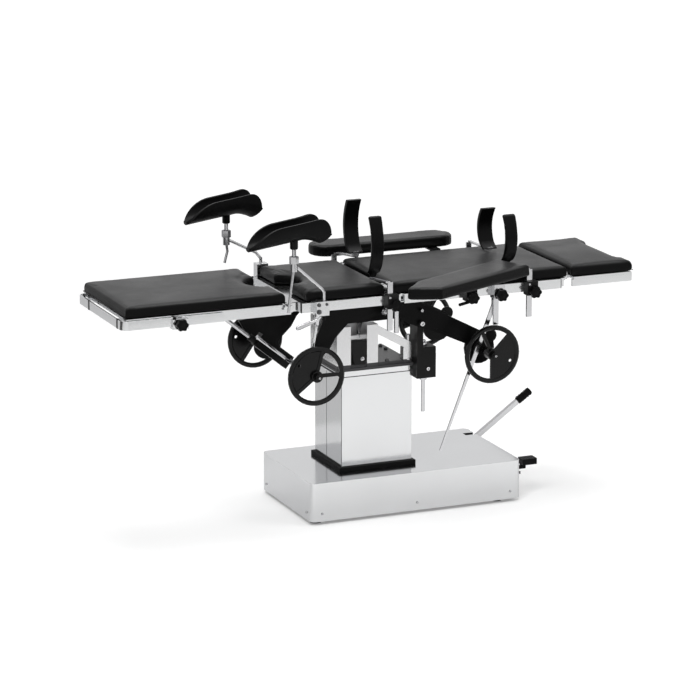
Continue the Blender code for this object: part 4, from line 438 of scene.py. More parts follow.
def dome_nut(name, place, axis, radius, look, body):
    """A hexagon nut with a domed cap, on a washer."""
    washer = radius * 1.25
    height = radius * 0.9
    thickness = radius * 0.22
    profile = [(washer, -EDGE_WIDTH), (washer, thickness), (radius, thickness), (radius, height)]
    steps = 6
    for i in range(steps + 1):
        turn = math.pi / 2 * i / steps
        profile.append((radius * 0.78 * math.cos(turn), height + radius * 0.6 * math.sin(turn)))
    profile[-1] = (0, profile[-1][1])
    return lathe(name, profile, place, axis, look, body, 24)


def cap_screw(name, place, axis, radius, look, body):
    """A round socket screw with its hexagon socket."""
    height = radius * 0.8
    socket = radius * 0.5
    profile = [
        (radius, -EDGE_WIDTH),
        (radius, height * 0.8),
        (radius * 0.9, height),
        (socket, height),
        (socket, height * 0.35),
        (0, height * 0.35),
    ]
    return lathe(name, profile, place, axis, look, body, 18)


def grommet(name, place, axis, inner, outer, height, look, body):
    """A plain turned ring with rounded corners."""
    soft = min(height, outer - inner) * 0.25
    profile = [
        (inner, 0),
        (outer - soft, 0),
        (outer, soft),
        (outer, height - soft),
        (outer - soft, height),
        (inner, height),
    ]
    return lathe(name, profile + profile[:1], place, axis, look, body)


def world(x, y, z):
    """A place in the table's own layout: x to the head end, y to the far side, z up."""
    return ORIGIN + Vector((x, y, z))


# Padding


def copied_mesh(node):
    """A solid's mesh with its seams closed."""
    work = bmesh.new()
    work.from_mesh(NODES[node].data)
    bmesh.ops.remove_doubles(work, verts=work.verts, dist=WELD)
    return work


def remeshed(name, node):
    """A copy of a soft solid with even faces, drawn in a little."""
    mesh = bpy.data.meshes.new(name)
    work = copied_mesh(node)
    work.to_mesh(mesh)
    work.free()
    piece = bpy.data.objects.new(name, mesh)
    bpy.context.scene.collection.objects.link(piece)
    even = piece.modifiers.new("even", "REMESH")
    even.mode = "VOXEL"
    even.voxel_size = VOXEL
    relax = piece.modifiers.new("relax", "SMOOTH")
    relax.factor = 0.5
    relax.iterations = 2
    graph = bpy.context.evaluated_depsgraph_get()
    mesh = bpy.data.meshes.new_from_object(piece.evaluated_get(graph))
    piece.modifiers.clear()
    piece.data = mesh
    normals = [vertex.normal.copy() for vertex in mesh.vertices]
    for vertex, normal in zip(mesh.vertices, normals):
        vertex.co -= normal * SHRINK
    return piece


def inflate(piece, flat_z):
    """Blow the cover up with a short cloth simulation, capped; what rests on a board stays flat."""
    before = [vertex.co.copy() for vertex in piece.data.vertices]
    group = piece.vertex_groups.new(name="seat")
    for vertex in piece.data.vertices:
        if vertex.co.z < flat_z:
            group.add([vertex.index], 1.0, "REPLACE")
    cloth = piece.modifiers.new("cloth", "CLOTH")
    settings = cloth.settings
    settings.quality = 4
    settings.use_pressure = True
    settings.uniform_pressure_force = CLOTH_PRESSURE
    settings.effector_weights.gravity = 0
    settings.vertex_group_mass = "seat"
    cloth.collision_settings.use_collision = False
    scene = bpy.context.scene
    for step in range(1, CLOTH_FRAMES + 1):
        scene.frame_set(step)
    graph = bpy.context.evaluated_depsgraph_get()
    blown = bpy.data.meshes.new_from_object(piece.evaluated_get(graph))
    piece.modifiers.clear()
    scene.frame_set(1)
    for vertex, after, start in zip(piece.data.vertices, blown.vertices, before):
        move = after.co - start
        if move.length > SWELL_CAP:
            move *= SWELL_CAP / move.length
        vertex.co = start + move


def upholster(node, body):
    """The padded cover that stands for a soft solid."""
    piece = remeshed(f"{node}_cover", node)
    low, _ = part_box(node)
    inflate(piece, low.z + VOXEL)
    for vertex in piece.data.vertices:
        vertex.co.z = max(vertex.co.z, low.z)
    piece.data.shade_smooth()
    finer = piece.modifiers.new("finer", "SUBSURF")
    finer.levels = 1
    finer.render_levels = 1
    dress(piece, "vinyl")
    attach(piece, body)
    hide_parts(node)
    return piece


def level_outline(node, share):
    """The soft solid's outline near a share of its height, in order round its middle."""
    low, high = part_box(node)
    level = low.z + share * (high.z - low.z)
    work = copied_mesh(node)
    heights = sorted({round(v.co.z, 5) for v in work.verts}, key=lambda z: abs(z - level))
    ring = [v.co.copy() for v in work.verts if abs(v.co.z - heights[0]) < WELD * 2]
    work.free()
    middle = (low + high) / 2
    ring.sort(key=lambda p: math.atan2(p.y - middle.y, p.x - middle.x))
    return ring


def welt(node, share, body, hinged=0):
    """A sewn cord along the cover's lower seam, left out on a hinged end (1 head, -1 foot)."""
    ring = level_outline(node, share)
    if hinged:
        low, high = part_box(node)
        edge = high.x if hinged > 0 else low.x
        kept = [abs(place.x - edge) > WELT_CLEAR for place in ring]
        start = next(i for i in range(len(ring)) if kept[i] and not kept[i - 1])
        order = [(start + i) % len(ring) for i in range(len(ring))]
        ring = [ring[i] for i in order if kept[i]]
    curve = bpy.data.curves.new(f"{node}_welt", "CURVE")
    curve.dimensions = "3D"
    curve.bevel_depth = WELT_R
    curve.bevel_resolution = 2
    spline = curve.splines.new("POLY")
    spline.points.add(len(ring) - 1)
    for point, place in zip(spline.points, ring):
        point.co = (*place, 1)
    spline.use_cyclic_u = not hinged
    piece = bpy.data.objects.new(f"{node}_welt", curve)
    bpy.context.scene.collection.objects.link(piece)
    dress(piece, "vinyl")
    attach(piece, body)


def table_cushions():
    """The four sections' cushions with their welts, the arm boards and the near pads."""
    for node, body, hinged in TABLE_CUSHIONS:
        upholster(node, body)
        welt(node, WELT_SHARE, body, hinged)
    upholster("arm_pad_near", "arm_near")
    upholster("arm_pad_far", "arm_far")
    upholster("hip_pad_near", "hip_near")
    upholster("shoulder_pad_near", "shoulder_near")


# Curved pads of the far supports

PAD_HALF = 0.0290
PAD_THICK = 0.0116
PAD_BOW = 0.030
PAD_FLARE = 0.014
PAD_FLARE_SHARE = 0.18
PAD_STATIONS = 40
PAD_AROUND = 32
PAD_SQUARENESS = 8.0
PAD_FROM_EDGE = 0.028
PAD_OVERHANG = (0.004, 0.002)
PAD_END_ROUND = 0.003
PAD_END_SIZE = 0.8
HIP_PAD = (0.205, 0.936)
SHOULDER_PAD = (0.120, 0.924)


def superellipse(turn, squareness):
    """A place on a rounded square of half width 1."""
    c, s = math.cos(turn), math.sin(turn)
    return (
        math.copysign(abs(c) ** (2 / squareness), c),
        math.copysign(abs(s) ** (2 / squareness), s),
    )


def far_pad(node, body, pad_y, bottom):
    """The padded strip round a far support's solid pad, hollow towards the table."""
    _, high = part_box(node)
    centre_x = high.x - PAD_FROM_EDGE
    top = high.z
    height = top - bottom
    work = bmesh.new()
    rings = []
    for i in range(PAD_STATIONS + 1):
        share = i / PAD_STATIONS
        along = (1 - math.cos(math.pi * share)) / 2
        spot = (along * (height + sum(PAD_OVERHANG)) - PAD_OVERHANG[0]) / height
        bow = PAD_BOW * (1 - (2 * spot - 1) ** 2)
        flare = PAD_FLARE * max(0, 1 - max(0, spot) / PAD_FLARE_SHARE) ** 2
        y = ORIGIN.y + pad_y + bow - flare
        z = bottom + spot * height
        end = min(1, min(along, 1 - along) * height / PAD_END_ROUND)
        size = PAD_END_SIZE + (1 - PAD_END_SIZE) * math.sqrt(1 - (1 - end) ** 2)
        ring = []
        for k in range(PAD_AROUND):
            a, b = superellipse(math.tau * k / PAD_AROUND, PAD_SQUARENESS)
            ring.append(work.verts.new((centre_x + PAD_HALF * a, y + PAD_THICK * b * size, z)))
        rings.append(ring)
    for lower, upper in zip(rings, rings[1:]):
        for k in range(PAD_AROUND):
            j = (k + 1) % PAD_AROUND
            work.faces.new((lower[k], lower[j], upper[j], upper[k]))
    work.faces.new(rings[0])
    work.faces.new(rings[-1])
    piece = piece_from(work, f"{node}_pad", "vinyl", body)


# Small fittings

SIDES = ((-1, "near"), (1, "far"))


def outward(node, side):
    """The middle of a node's outer face, on one side of the table."""
    low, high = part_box(node)
    y = low.y if side < 0 else high.y
    return Vector(((low.x + high.x) / 2, y, (low.z + high.z) / 2))


HUB_R = 0.0125
HUB_SCREW_R = 0.0042
HUB_SCREW_OUT = 0.017
HUB_SUNK = 0.001


def wheel_fittings():
    """A black hub cap on each handwheel, with a bright screw."""
    for pair in ("leg", "back"):
        body = f"{pair}_wheels"
        for side, place_name in SIDES:
            name = f"{pair}_wheel_{place_name}"
            place = outward(f"{pair}_wheel_shaft", side) - Vector((0, side * HUB_SUNK, 0))
            out = Vector((0, side, 0))
            dome_nut(f"{name}_hub", place, out, HUB_R, "wheel", body)
            top = place + out * HUB_SCREW_OUT
            cap_screw(f"{name}_screw", top, out, HUB_SCREW_R, "chrome", body)


COVER_SCREW_R = 0.0045
COVER_SCREW_INSET = 0.045
COVER_SCREW_RISE = 0.030


def base_fittings():
    """Screws low on the base cover's long sides and its foot side."""
    low, high, inset = BASE_LOW, BASE_HIGH, COVER_SCREW_INSET
    z = low.z + COVER_SCREW_RISE
    for i, x in enumerate((low.x + inset, BASE_MIDDLE.x, high.x - inset)):
        for side, name in SIDES:
            place = (x, low.y if side < 0 else high.y, z)
            screw = f"cover_screw_{name}_{i}"
            cap_screw(screw, place, (0, side, 0), COVER_SCREW_R, "chrome", "base")
    for i, y in enumerate((low.y + inset, high.y - inset)):
        screw = f"cover_screw_foot_{i}"
        cap_screw(screw, (low.x, y, z), (-1, 0, 0), COVER_SCREW_R, "chrome", "base")


FLANGE_BOLTS = (
    (-0.062, -0.112),
    (-0.062, 0.112),
    (0.050, -0.112),
    (0.050, 0.112),
    (0.120, 0.060),
    (0.120, 0.112),
)
FLANGE_BOLT_R = 0.008
FLANGE_TOP = 0.5743
PIN_RING = (0.0085, 0.017, 0.003)
PIN_RING_PLACE = (-0.1663, 0, 0.700)
TRUNNION_Z = 0.790
TRUNNION_NUT_R = 0.011


def yoke_fittings():
    """The flange's bolts, the ring on the cross's pin and the nuts on its trunnions."""
    for i, (x, y) in enumerate(FLANGE_BOLTS):
        place = world(x, y, FLANGE_TOP)
        cap_screw(f"flange_bolt_{i}", place, (0, 0, 1), FLANGE_BOLT_R, "dark_cast", "column")
    place = world(*PIN_RING_PLACE)
    grommet("cross_pin_ring", place, (-1, 0, 0), *PIN_RING, "chrome", "column")
    low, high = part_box("tilt_cross")
    for side in (-1, 1):
        place = Vector((ORIGIN.x, low.y if side < 0 else high.y, TRUNNION_Z))
        name = f"trunnion_nut_{side + 1}"
        dome_nut(name, place, (0, side, 0), TRUNNION_NUT_R, "chrome", "cross")


JACK_SCREW_XY = (0.192, -0.131)
JACK_GLAND = (0.004, 0.010, 0.006)
JACK_WIPER = (0.004, 0.0125, 0.005)
JACK_TOP, JACK_UNDER = 0.6405, 0.504
JACK_FACE_SCREW = (0.196, -0.165, 0.541)
JACK_FACE_SCREW_R = 0.0075


def jack_fittings():
    """Rings where the jack's screw leaves its housing, and the screw in its face."""
    body = "jack_screw"
    top = world(*JACK_SCREW_XY, JACK_TOP)
    grommet("jack_gland", top, (0, 0, 1), *JACK_GLAND, "chrome", body)
    face = world(*JACK_FACE_SCREW)
    cap_screw("jack_screw_head", face, (0, -1, 0), JACK_FACE_SCREW_R, "chrome", body)
    under = world(*JACK_SCREW_XY, JACK_UNDER)
    grommet("jack_wiper", under, (0, 0, -1), *JACK_WIPER, "rubber", body)


SOFT_EDGE = 0.0008


def block(name, corners, thickness, look, body):
    """A plate: an outline of places drawn towards the far side, with softened edges."""
    work = bmesh.new()
    near = [work.verts.new(corner) for corner in corners]
    far = [work.verts.new(corner + Vector((0, thickness, 0))) for corner in corners]
    work.faces.new(near)
    work.faces.new(far)
    count = len(corners)
    for i in range(count):
        j = (i + 1) % count
        work.faces.new((near[i], near[j], far[j], far[i]))
    piece = piece_from(work, name, look, body)
    edge = piece.modifiers.new("edge", "BEVEL")
    edge.width = SOFT_EDGE
    edge.segments = 2
    edge.limit_method = "ANGLE"
    return piece


def boxed(name, low, high, look, body):
    """A softened block between two places of the table's own layout."""
    low, high = world(*low), world(*high)
    outline = ((low.x, low.z), (high.x, low.z), (high.x, high.z), (low.x, high.z))
    corners = [Vector((x, low.y, z)) for x, z in outline]
    return block(name, corners, high.y - low.y, look, body)


# Black plate between the yoke's ears: painted shade that stands in for the dark gap.
GAP_SHADE_OUTLINE = ((-0.091, 0.5745), (-0.048, 0.5745), (-0.036, 0.664), (-0.109, 0.668))
GAP_SHADE_Y = -0.130
GAP_SHADE_THICK = 0.030
YOKE_PIN_XZ = (-0.059, 0.596)
YOKE_PIN_R = 0.0062


def yoke_gap_shade():
    """A black plate in the gap between the yoke's ears, as painted shade for that gap, with its
    bright pin.
    """
    corners = [world(x, GAP_SHADE_Y, z) for x, z in GAP_SHADE_OUTLINE]
    block("yoke_gap_shade", corners, GAP_SHADE_THICK, "paint", "column")
    pin = world(YOKE_PIN_XZ[0], GAP_SHADE_Y, YOKE_PIN_XZ[1])
    dome_nut("yoke_pin", pin, (0, -1, 0), YOKE_PIN_R, "chrome", "column")


YOKE_POST = (
    (0, 0),
    (0.0125, 0),
    (0.0125, 0.004),
    (0.0085, 0.006),
    (0.0085, 0.094),
    (0.0070, 0.097),
    (0, 0.097),
)
YOKE_POST_XY = (0.134, -0.119)
CLAMP_TUBE = ((0, 0), (0.0080, 0), (0.0092, 0.0015), (0.0092, 0.0945), (0, 0.0945))
CLAMP_TUBE_PLACE = (0.0204, -0.267, 0.7205)


def bright_posts():
    """The polished post at the yoke's corner and the tube under the near hip clamp."""
    place = world(*YOKE_POST_XY, FLANGE_TOP)
    lathe("yoke_post", YOKE_POST, place, (0, 0, 1), "chrome", "column")
    place = world(*CLAMP_TUBE_PLACE)
    lathe("hip_clamp_tube", CLAMP_TUBE, place, (0, 0, 1), "chrome", "table")


SEAM_R = 0.0012
SEAM_INSET = 0.004
SEAM_SHARE = 0.56


def column_seams():
    """The folded joint at the column cover's corner and the seam in its foot side."""
    low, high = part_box("column_outer_cover")
    rise = high.z - low.z
    for name, x, y in (
        ("corner", low.x + 0.0008, low.y + 0.0008),
        ("foot_side", low.x + 0.0004, low.y + SEAM_SHARE * (high.y - low.y)),
    ):
        start, end = SEAM_INSET, rise - SEAM_INSET
        profile = [(0, start), (SEAM_R, start), (SEAM_R, end), (0, end)]
        name = f"column_seam_{name}"
        lathe(name, profile, (x, y, low.z), (0, 0, 1), "dark_cast", "base", 12)


# Place along and up each side plate, and radius
PLATE_BOLTS = (
    (0.1501, 0.7308, 0.0095),
    (0.1499, 0.7815, 0.0055),
    (-0.0108, 0.7944, 0.0075),
)
PLATE_FACE_Y = 0.2115


def plate_bolts():
    """Bright bolts in both side plates."""
    for side, name in SIDES:
        for i, (x, z, radius) in enumerate(PLATE_BOLTS):
            place = world(x, side * PLATE_FACE_Y, z)
            bolt = f"plate_bolt_{name}_{i}"
            cap_screw(bolt, place, (0, side, 0), radius, "chrome", "table")


BAND_SPOTS = (-0.198, 0.120)
BAND_HALF = 0.007
BAND_DEPTH = 0.0072
BAND_PROUD = 0.0008


def end_rail_bands():
    """Black bands round the foot rail, and the clamp strip beside the leg rail's knob."""
    body = "leg_section"
    low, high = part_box("leg_end_rail")
    x = low.x - ORIGIN.x
    bottom, top = low.z - BAND_PROUD, high.z + BAND_PROUD
    for i, y in enumerate(BAND_SPOTS):
        start = (x - BAND_PROUD, y - BAND_HALF, bottom)
        boxed(f"end_rail_band_{i}", start, (x + BAND_DEPTH, y + BAND_HALF, top), "plastic", body)
    boxed("knob_strip", (-0.858, -0.2535, bottom), (-0.847, -0.2425, top), "plastic", body)


def bar_between(name, start, end, profile, look, body):
    """A turned bar from one place to another; profile holds (radius, share of the length)."""
    along = end - start
    length = along.length
    turned = [(radius, share * length) for radius, share in profile]
    return lathe(name, turned, start, along, look, body, 20)


# Place along and up the near crutch clamp, and radius
CRUTCH_BOLTS = ((-0.297, 0.858, 0.006), (-0.266, 0.858, 0.0045), (-0.297, 0.832, 0.0075))
CLAMP_FACE_Y = 0.282
LEVER_GRIP_ENDS = ((-0.322, -0.277, 0.7957), (-0.386, -0.277, 0.7754))
LEVER_GRIP = (
    (0, 0),
    (0.0060, 0.0),
    (0.0078, 0.25),
    (0.0082, 0.8),
    (0.0070, 0.96),
    (0.0045, 1.0),
    (0, 1.0),
)
CLAMP_SCREW_ENDS = ((-0.295, -0.267, 0.822), (-0.303, -0.267, 0.776))
CLAMP_SCREW = (
    (0, 0),
    (0.0125, 0.0),
    (0.0125, 0.35),
    (0.0095, 0.5),
    (0.0095, 0.9),
    (0.006, 1.0),
    (0, 1.0),
)


def crutch_clamp_details():
    """The near crutch clamp's bolts, lower jaw and lever grip."""
    for i, (x, z, radius) in enumerate(CRUTCH_BOLTS):
        place = world(x, -CLAMP_FACE_Y, z)
        dome_nut(f"crutch_clamp_bolt_{i}", place, (0, -1, 0), radius, "dark_cast", "table")
    for name, ends, profile in (
        ("crutch_lever_grip", LEVER_GRIP_ENDS, LEVER_GRIP),
        ("crutch_clamp_screw", CLAMP_SCREW_ENDS, CLAMP_SCREW),
    ):
        bar_between(name, world(*ends[0]), world(*ends[1]), profile, "chrome", "table")


KNOB_BODIES = {
    "leg_rail_knob": "leg_knob",
    "hip_knob_near": "hip_knob",
    "arm_knob_near": "arm_knob",
    "arm_stay_knob": "arm_stay_knob",
    "shoulder_knob_near": "shoulder_knob",
}
KNOB_INSERT = ((0.0085, -0.001), (0.0085, 0.0006), (0.0075, 0.0012), (0, 0.0014))


def knob_inserts():
    """A low cap in each star knob's face."""
    for node, body in KNOB_BODIES.items():
        lathe(f"{node}_insert", KNOB_INSERT, outward(node, -1), (0, -1, 0), "rubber", body)


RAIL_Y = 0.247
RAIL_Z = 0.844
RAIL_CAP = Vector((0.003, 0.0108, 0.0368))
RAIL_CAP_OUT = 0.0012
RAIL_ENDS = (("seat", -0.353, -1, "table"), ("back", 0.710, 1, "back_section"))


def rail_caps():
    """Black plugs on the ends of the side rails."""
    for rail, x, way, body in RAIL_ENDS:
        for side, name in SIDES:
            work = bmesh.new()
            bmesh.ops.create_cube(work, size=1)
            middle = world(x + way * RAIL_CAP_OUT, side * RAIL_Y, RAIL_Z)
            for vertex in work.verts:
                vertex.co = middle + vertex.co * RAIL_CAP
            piece = piece_from(work, f"{rail}_rail_cap_{name}", "plastic", body)
            soft = piece.modifiers.new("soft", "BEVEL")
            soft.width = SOFT_EDGE
            soft.segments = 3


CLAMP_SCREWS = (
    (-0.012, -1, "table"),
    (0.324, -1, "back_section"),
    (0.563, -1, "back_section"),
    (-0.010, 1, "back_section"),
    (0.562, 1, "back_section"),
    (0.424, 1, "back_section"),
    (-0.300, 1, "table"),
)
CLAMP_SCREW_R = 0.0042
CLAMP_SCREW_Z = 0.860


def clamp_screws():
    """Screws in the clamps' front faces, above the knobs."""
    for i, (x, side, body) in enumerate(CLAMP_SCREWS):
        place = world(x, side * CLAMP_FACE_Y, CLAMP_SCREW_Z)
        cap_screw(f"clamp_screw_{i}", place, (0, side, 0), CLAMP_SCREW_R, "chrome", body)


GRIP_RINGS = 5
GRIP_RING = (0.0125, 0.0162, 0.004)
GRIP_INSET = Vector((0.008, 0, 0.013))


def lever_rings():
    """Grip rings round the pump lever's rubber."""
    low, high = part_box("pump_lever_pad")
    start, end = low + GRIP_INSET, high - GRIP_INSET
    start.y = end.y = (low.y + high.y) / 2
    along = (end - start).normalized()
    for i in range(GRIP_RINGS):
        place = start.lerp(end, (i + 0.5) / GRIP_RINGS) - along * GRIP_RING[2] / 2
        grommet(f"grip_ring_{i}", place, along, *GRIP_RING, "rubber", "pump_lever")


PEDAL_RIBS = 5
PEDAL_RIB_R = 0.0016
PEDAL_RIB_FIRST = 0.008
PEDAL_RIB_STEP = 0.011
PEDAL_RIB_SHARE = 0.84


def pedal_ribs():
    """Rubber ribs across the release pedal."""
    low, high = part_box("release_pedal")
    for i in range(PEDAL_RIBS):
        place = Vector(
            (high.x - PEDAL_RIB_FIRST - i * PEDAL_RIB_STEP, (low.y + high.y) / 2, high.z)
        )
        work = bmesh.new()
        bmesh.ops.create_cone(
            work,
            cap_ends=True,
            segments=12,
            radius1=PEDAL_RIB_R,
            radius2=PEDAL_RIB_R,
            depth=(high.y - low.y) * PEDAL_RIB_SHARE,
        )
        bmesh.ops.rotate(work, verts=work.verts, matrix=Matrix.Rotation(math.pi / 2, 3, "X"))
        bmesh.ops.translate(work, verts=work.verts, vec=place)
        piece_from(work, f"pedal_rib_{i}", "rubber", "release_pedal")


# The leg stay: its pin, its way up to the leg section, and the way square to it
STAY_PIN = (-0.321, 0, 0.597)
STAY_ALONG = Vector((-0.776628, 0, 0.62996))
STAY_OVER = Vector((0.62996, 0, 0.776628))
STAY_OFFSET = 0.0175
STAY_WIPER = (0.0082, 0.0145, 0.006)
STAY_WIPER_AT = 0.1645
GUIDE_SPAN = (-0.030, 0.152)
GUIDE_OFF = STAY_OVER * 0.0155 + Vector((0, -0.0135, 0))
GUIDE_TUBE = ((0, 0), (0.0085, 0.0), (0.0090, 0.01), (0.0090, 0.99), (0.0085, 1.0), (0, 1.0))


def stay_fittings():
    """The stay's wiper ring, and the bright guide tube beside its sleeve."""
    foot = world(*STAY_PIN) - STAY_OFFSET * STAY_OVER
    place = foot + STAY_ALONG * STAY_WIPER_AT
    grommet("stay_wiper", place, STAY_ALONG, *STAY_WIPER, "rubber", "stay_outer")
    start, end = (foot + STAY_ALONG * spot + GUIDE_OFF for spot in GUIDE_SPAN)
    bar_between("stay_guide_tube", start, end, GUIDE_TUBE, "chrome", "stay_outer")


CRUTCH_TIP = ((0.0072, -0.012), (0.0072, 0.002), (0.006, 0.004), (0, 0.0045))
CRUTCH_ROD_R = 0.006


def crutch_fittings():
    """Rubber tips on the crutch rods' free ends."""
    for _, name in SIDES:
        low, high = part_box(f"crutch_rod_{name}")
        place = (high.x - CRUTCH_ROD_R, (low.y + high.y) / 2, low.z)
        lathe(f"crutch_tip_{name}", CRUTCH_TIP, place, (0, 0, -1), "rubber", f"crutch_{name}")


# The crutches' moulded troughs: their shape at the foot, and how it flares to the head
TROUGH_REACH = math.radians(98)
TROUGH_ROWS = 44
TROUGH_STATIONS = 60
TROUGH_SKIN = 0.0115
TROUGH_INSET = 0.005
TROUGH_LENGTH = 0.318
TROUGH_END_GAP = 0.004
TROUGH_STEM_SHARE = 0.585
TROUGH_HALF = 0.052
TROUGH_DEPTH = 0.063
TROUGH_BOTTOM = 1.104
TROUGH_SLOPE = 0.14
TROUGH_RIM = 0.0050
FOOT_ROUND_SHARE = 0.38
FOOT_ROUND_POWER = 1.9
FOOT_LEAST_REACH = 0.20
HEAD_LOBES_FROM = 0.80
HEAD_LOBES_POWER = 2.4
HEAD_NOTCH = 0.10
HEAD_NOTCH_WIDTH = 0.60
FLARE_FROM = 0.66
FLARE_POWER = 1.7
FLARE_HALF = 0.012
FLARE_DEPTH = 0.050
SOCKET = ((0.0135, 1.074), (0.0150, 1.077), (0.0150, 1.104), (0.0185, 1.112))
STEM_R = 0.0075
STEM_TOP = 1.076


def rounded(share, power):
    """A superellipse's half width at a share of its way from the middle to the end."""
    return (1 - share**power) ** (1 / power)


def trough_point(turn, station, start_x, length, stem_x, y):
    """A place on the trough: turn goes from rim to rim (-1 to 1), station from foot to head."""
    foot = min(1, station / FOOT_ROUND_SHARE)
    head = max(0, (station - HEAD_LOBES_FROM) / (1 - HEAD_LOBES_FROM))
    reach = max(FOOT_LEAST_REACH, rounded(1 - foot, FOOT_ROUND_POWER))
    reach *= 0.50 + 0.50 * rounded(min(1, head), HEAD_LOBES_POWER)
    notch = HEAD_NOTCH * max(0, 1 - (reach * turn / HEAD_NOTCH_WIDTH) ** 2) * head**1.5
    share = station - notch
    x = start_x + length * share
    flare = max(0, (share - FLARE_FROM) / (1 - FLARE_FROM)) ** FLARE_POWER
    half = TROUGH_HALF + FLARE_HALF * flare - TROUGH_INSET
    depth = TROUGH_DEPTH + FLARE_DEPTH * flare - TROUGH_INSET
    bottom = TROUGH_BOTTOM + TROUGH_SLOPE * (x - stem_x) - FLARE_DEPTH * flare + TROUGH_INSET
    angle = TROUGH_REACH * reach * turn
    return Vector((x, y + half * math.sin(angle), bottom + depth * (1 - math.cos(angle))))


FAR_TROUGH_CUT_BACK = 0.016


def trough(name, node, body, cut_back=0.0):
    """The moulded leg trough, with rounded rims, its socket and its stem."""
    low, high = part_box(node)
    y = (low.y + high.y) / 2
    stem_x = low.x + TROUGH_LENGTH * TROUGH_STEM_SHARE
    start_x = low.x + TROUGH_END_GAP + cut_back
    length = TROUGH_LENGTH - 2 * TROUGH_END_GAP - cut_back
    work = bmesh.new()
    rows = []
    for i in range(TROUGH_STATIONS + 1):
        station = (1 - math.cos(math.pi * i / TROUGH_STATIONS)) / 2
        turns = [2 * k / TROUGH_ROWS - 1 for k in range(TROUGH_ROWS + 1)]
        places = [trough_point(turn, station, start_x, length, stem_x, y) for turn in turns]
        rows.append([work.verts.new(place) for place in places])
    for a, b in zip(rows, rows[1:]):
        for k in range(len(a) - 1):
            work.faces.new((a[k], a[k + 1], b[k + 1], b[k]))
    piece = piece_from(work, name, "moulded", body)
    skin = piece.modifiers.new("skin", "SOLIDIFY")
    skin.thickness = TROUGH_SKIN
    skin.offset = 0
    rim = piece.modifiers.new("rim", "BEVEL")
    rim.width = TROUGH_RIM
    rim.segments = 4
    rim.limit_method = "ANGLE"
    rim.angle_limit = math.radians(60)
    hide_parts(node)
    socket = [(0, SOCKET[0][1]), *SOCKET, (0, SOCKET[-1][1])]
    lathe(f"{name}_socket", socket, (stem_x, y, 0), (0, 0, 1), "plastic", body)
    stem = [(0, low.z), (STEM_R, low.z), (STEM_R, STEM_TOP), (0, STEM_TOP)]
    lathe(f"{name}_stem", stem, (stem_x, y, 0), (0, 0, 1), "chrome", body)


def troughs():
    """Both crutches' troughs."""
    trough("crutch_trough_near", "crutch_pad_near", "crutch_near_rest")
    trough("crutch_trough_far", "crutch_pad_far", "crutch_far_rest", FAR_TROUGH_CUT_BACK)


# Floor, light and camera


FLOOR_NEAR = 0.24
FLOOR_FAR = 0.80
FLOOR_SPAN = (2.5, 8.0)
FLOOR_IN_REFLECTIONS = 0.16
FLOOR_HALF = 14.0
SKY_ON_OBJECTS = 0.45


def floor_material():
    """A pale matte floor that the camera and reflections see as white; it keeps its shadows."""
    surface = Surface("pale_floor", (0.80, 0.80, 0.80), 0.9)
    tree = surface.tree
    surface.colours(surface.mix(surface.noise(1.5, 2.0), (0.79, 0.79, 0.79), (0.81, 0.81, 0.81)))
    path = tree.nodes.new("ShaderNodeLightPath")
    away = tree.nodes.new("ShaderNodeVectorMath")
    away.operation = "LENGTH"
    tree.links.new(surface.place, away.inputs[0])
    glow = surface.spread(away.outputs["Value"], FLOOR_NEAR, FLOOR_FAR, FLOOR_SPAN)
    to_camera = tree.nodes.new("ShaderNodeMath")
    to_camera.operation = "MULTIPLY"
    tree.links.new(glow, to_camera.inputs[0])
    tree.links.new(path.outputs["Is Camera Ray"], to_camera.inputs[1])
    mirrored = tree.nodes.new("ShaderNodeMath")
    mirrored.operation = "MAXIMUM"
    tree.links.new(path.outputs["Is Glossy Ray"], mirrored.inputs[0])
    tree.links.new(path.outputs["Is Transmission Ray"], mirrored.inputs[1])
    level = tree.nodes.new("ShaderNodeMath")
    level.operation = "MULTIPLY_ADD"
    tree.links.new(mirrored.outputs[0], level.inputs[0])
    level.inputs[1].default_value = FLOOR_IN_REFLECTIONS
    tree.links.new(to_camera.outputs[0], level.inputs[2])
    surface.shader.inputs["Emission Color"].default_value = (*WHITE, 1)
    tree.links.new(level.outputs[0], surface.shader.inputs["Emission Strength"])
    return surface.material


def floor():
    """A wide floor; its centre is the scene's origin."""
    work = bmesh.new()
    bmesh.ops.create_grid(work, x_segments=1, y_segments=1, size=FLOOR_HALF)
    mesh = bpy.data.meshes.new("floor")
    work.to_mesh(mesh)
    work.free()
    piece = bpy.data.objects.new("floor", mesh)
    bpy.context.scene.collection.objects.link(piece)
    mesh.materials.append(floor_material())


def sky():
    """A white sky for the camera and reflections, and a dimmer one as light."""
    world_data = bpy.data.worlds.new("studio")
    bpy.context.scene.world = world_data
    world_data.use_nodes = True
    tree = world_data.node_tree
    back = tree.nodes["Background"]
    path = tree.nodes.new("ShaderNodeLightPath")
    seen = tree.nodes.new("ShaderNodeMath")
    seen.operation = "MAXIMUM"
    tree.links.new(path.outputs["Is Camera Ray"], seen.inputs[0])
    tree.links.new(path.outputs["Is Glossy Ray"], seen.inputs[1])
    also = tree.nodes.new("ShaderNodeMath")
    also.operation = "MAXIMUM"
    tree.links.new(seen.outputs[0], also.inputs[0])
    tree.links.new(path.outputs["Is Transmission Ray"], also.inputs[1])
    level = tree.nodes.new("ShaderNodeMapRange")
    level.inputs["To Min"].default_value = SKY_ON_OBJECTS
    level.inputs["To Max"].default_value = 1.0
    tree.links.new(also.outputs[0], level.inputs["Value"])
    back.inputs["Color"].default_value = (*WHITE, 1)
    tree.links.new(level.outputs["Result"], back.inputs["Strength"])


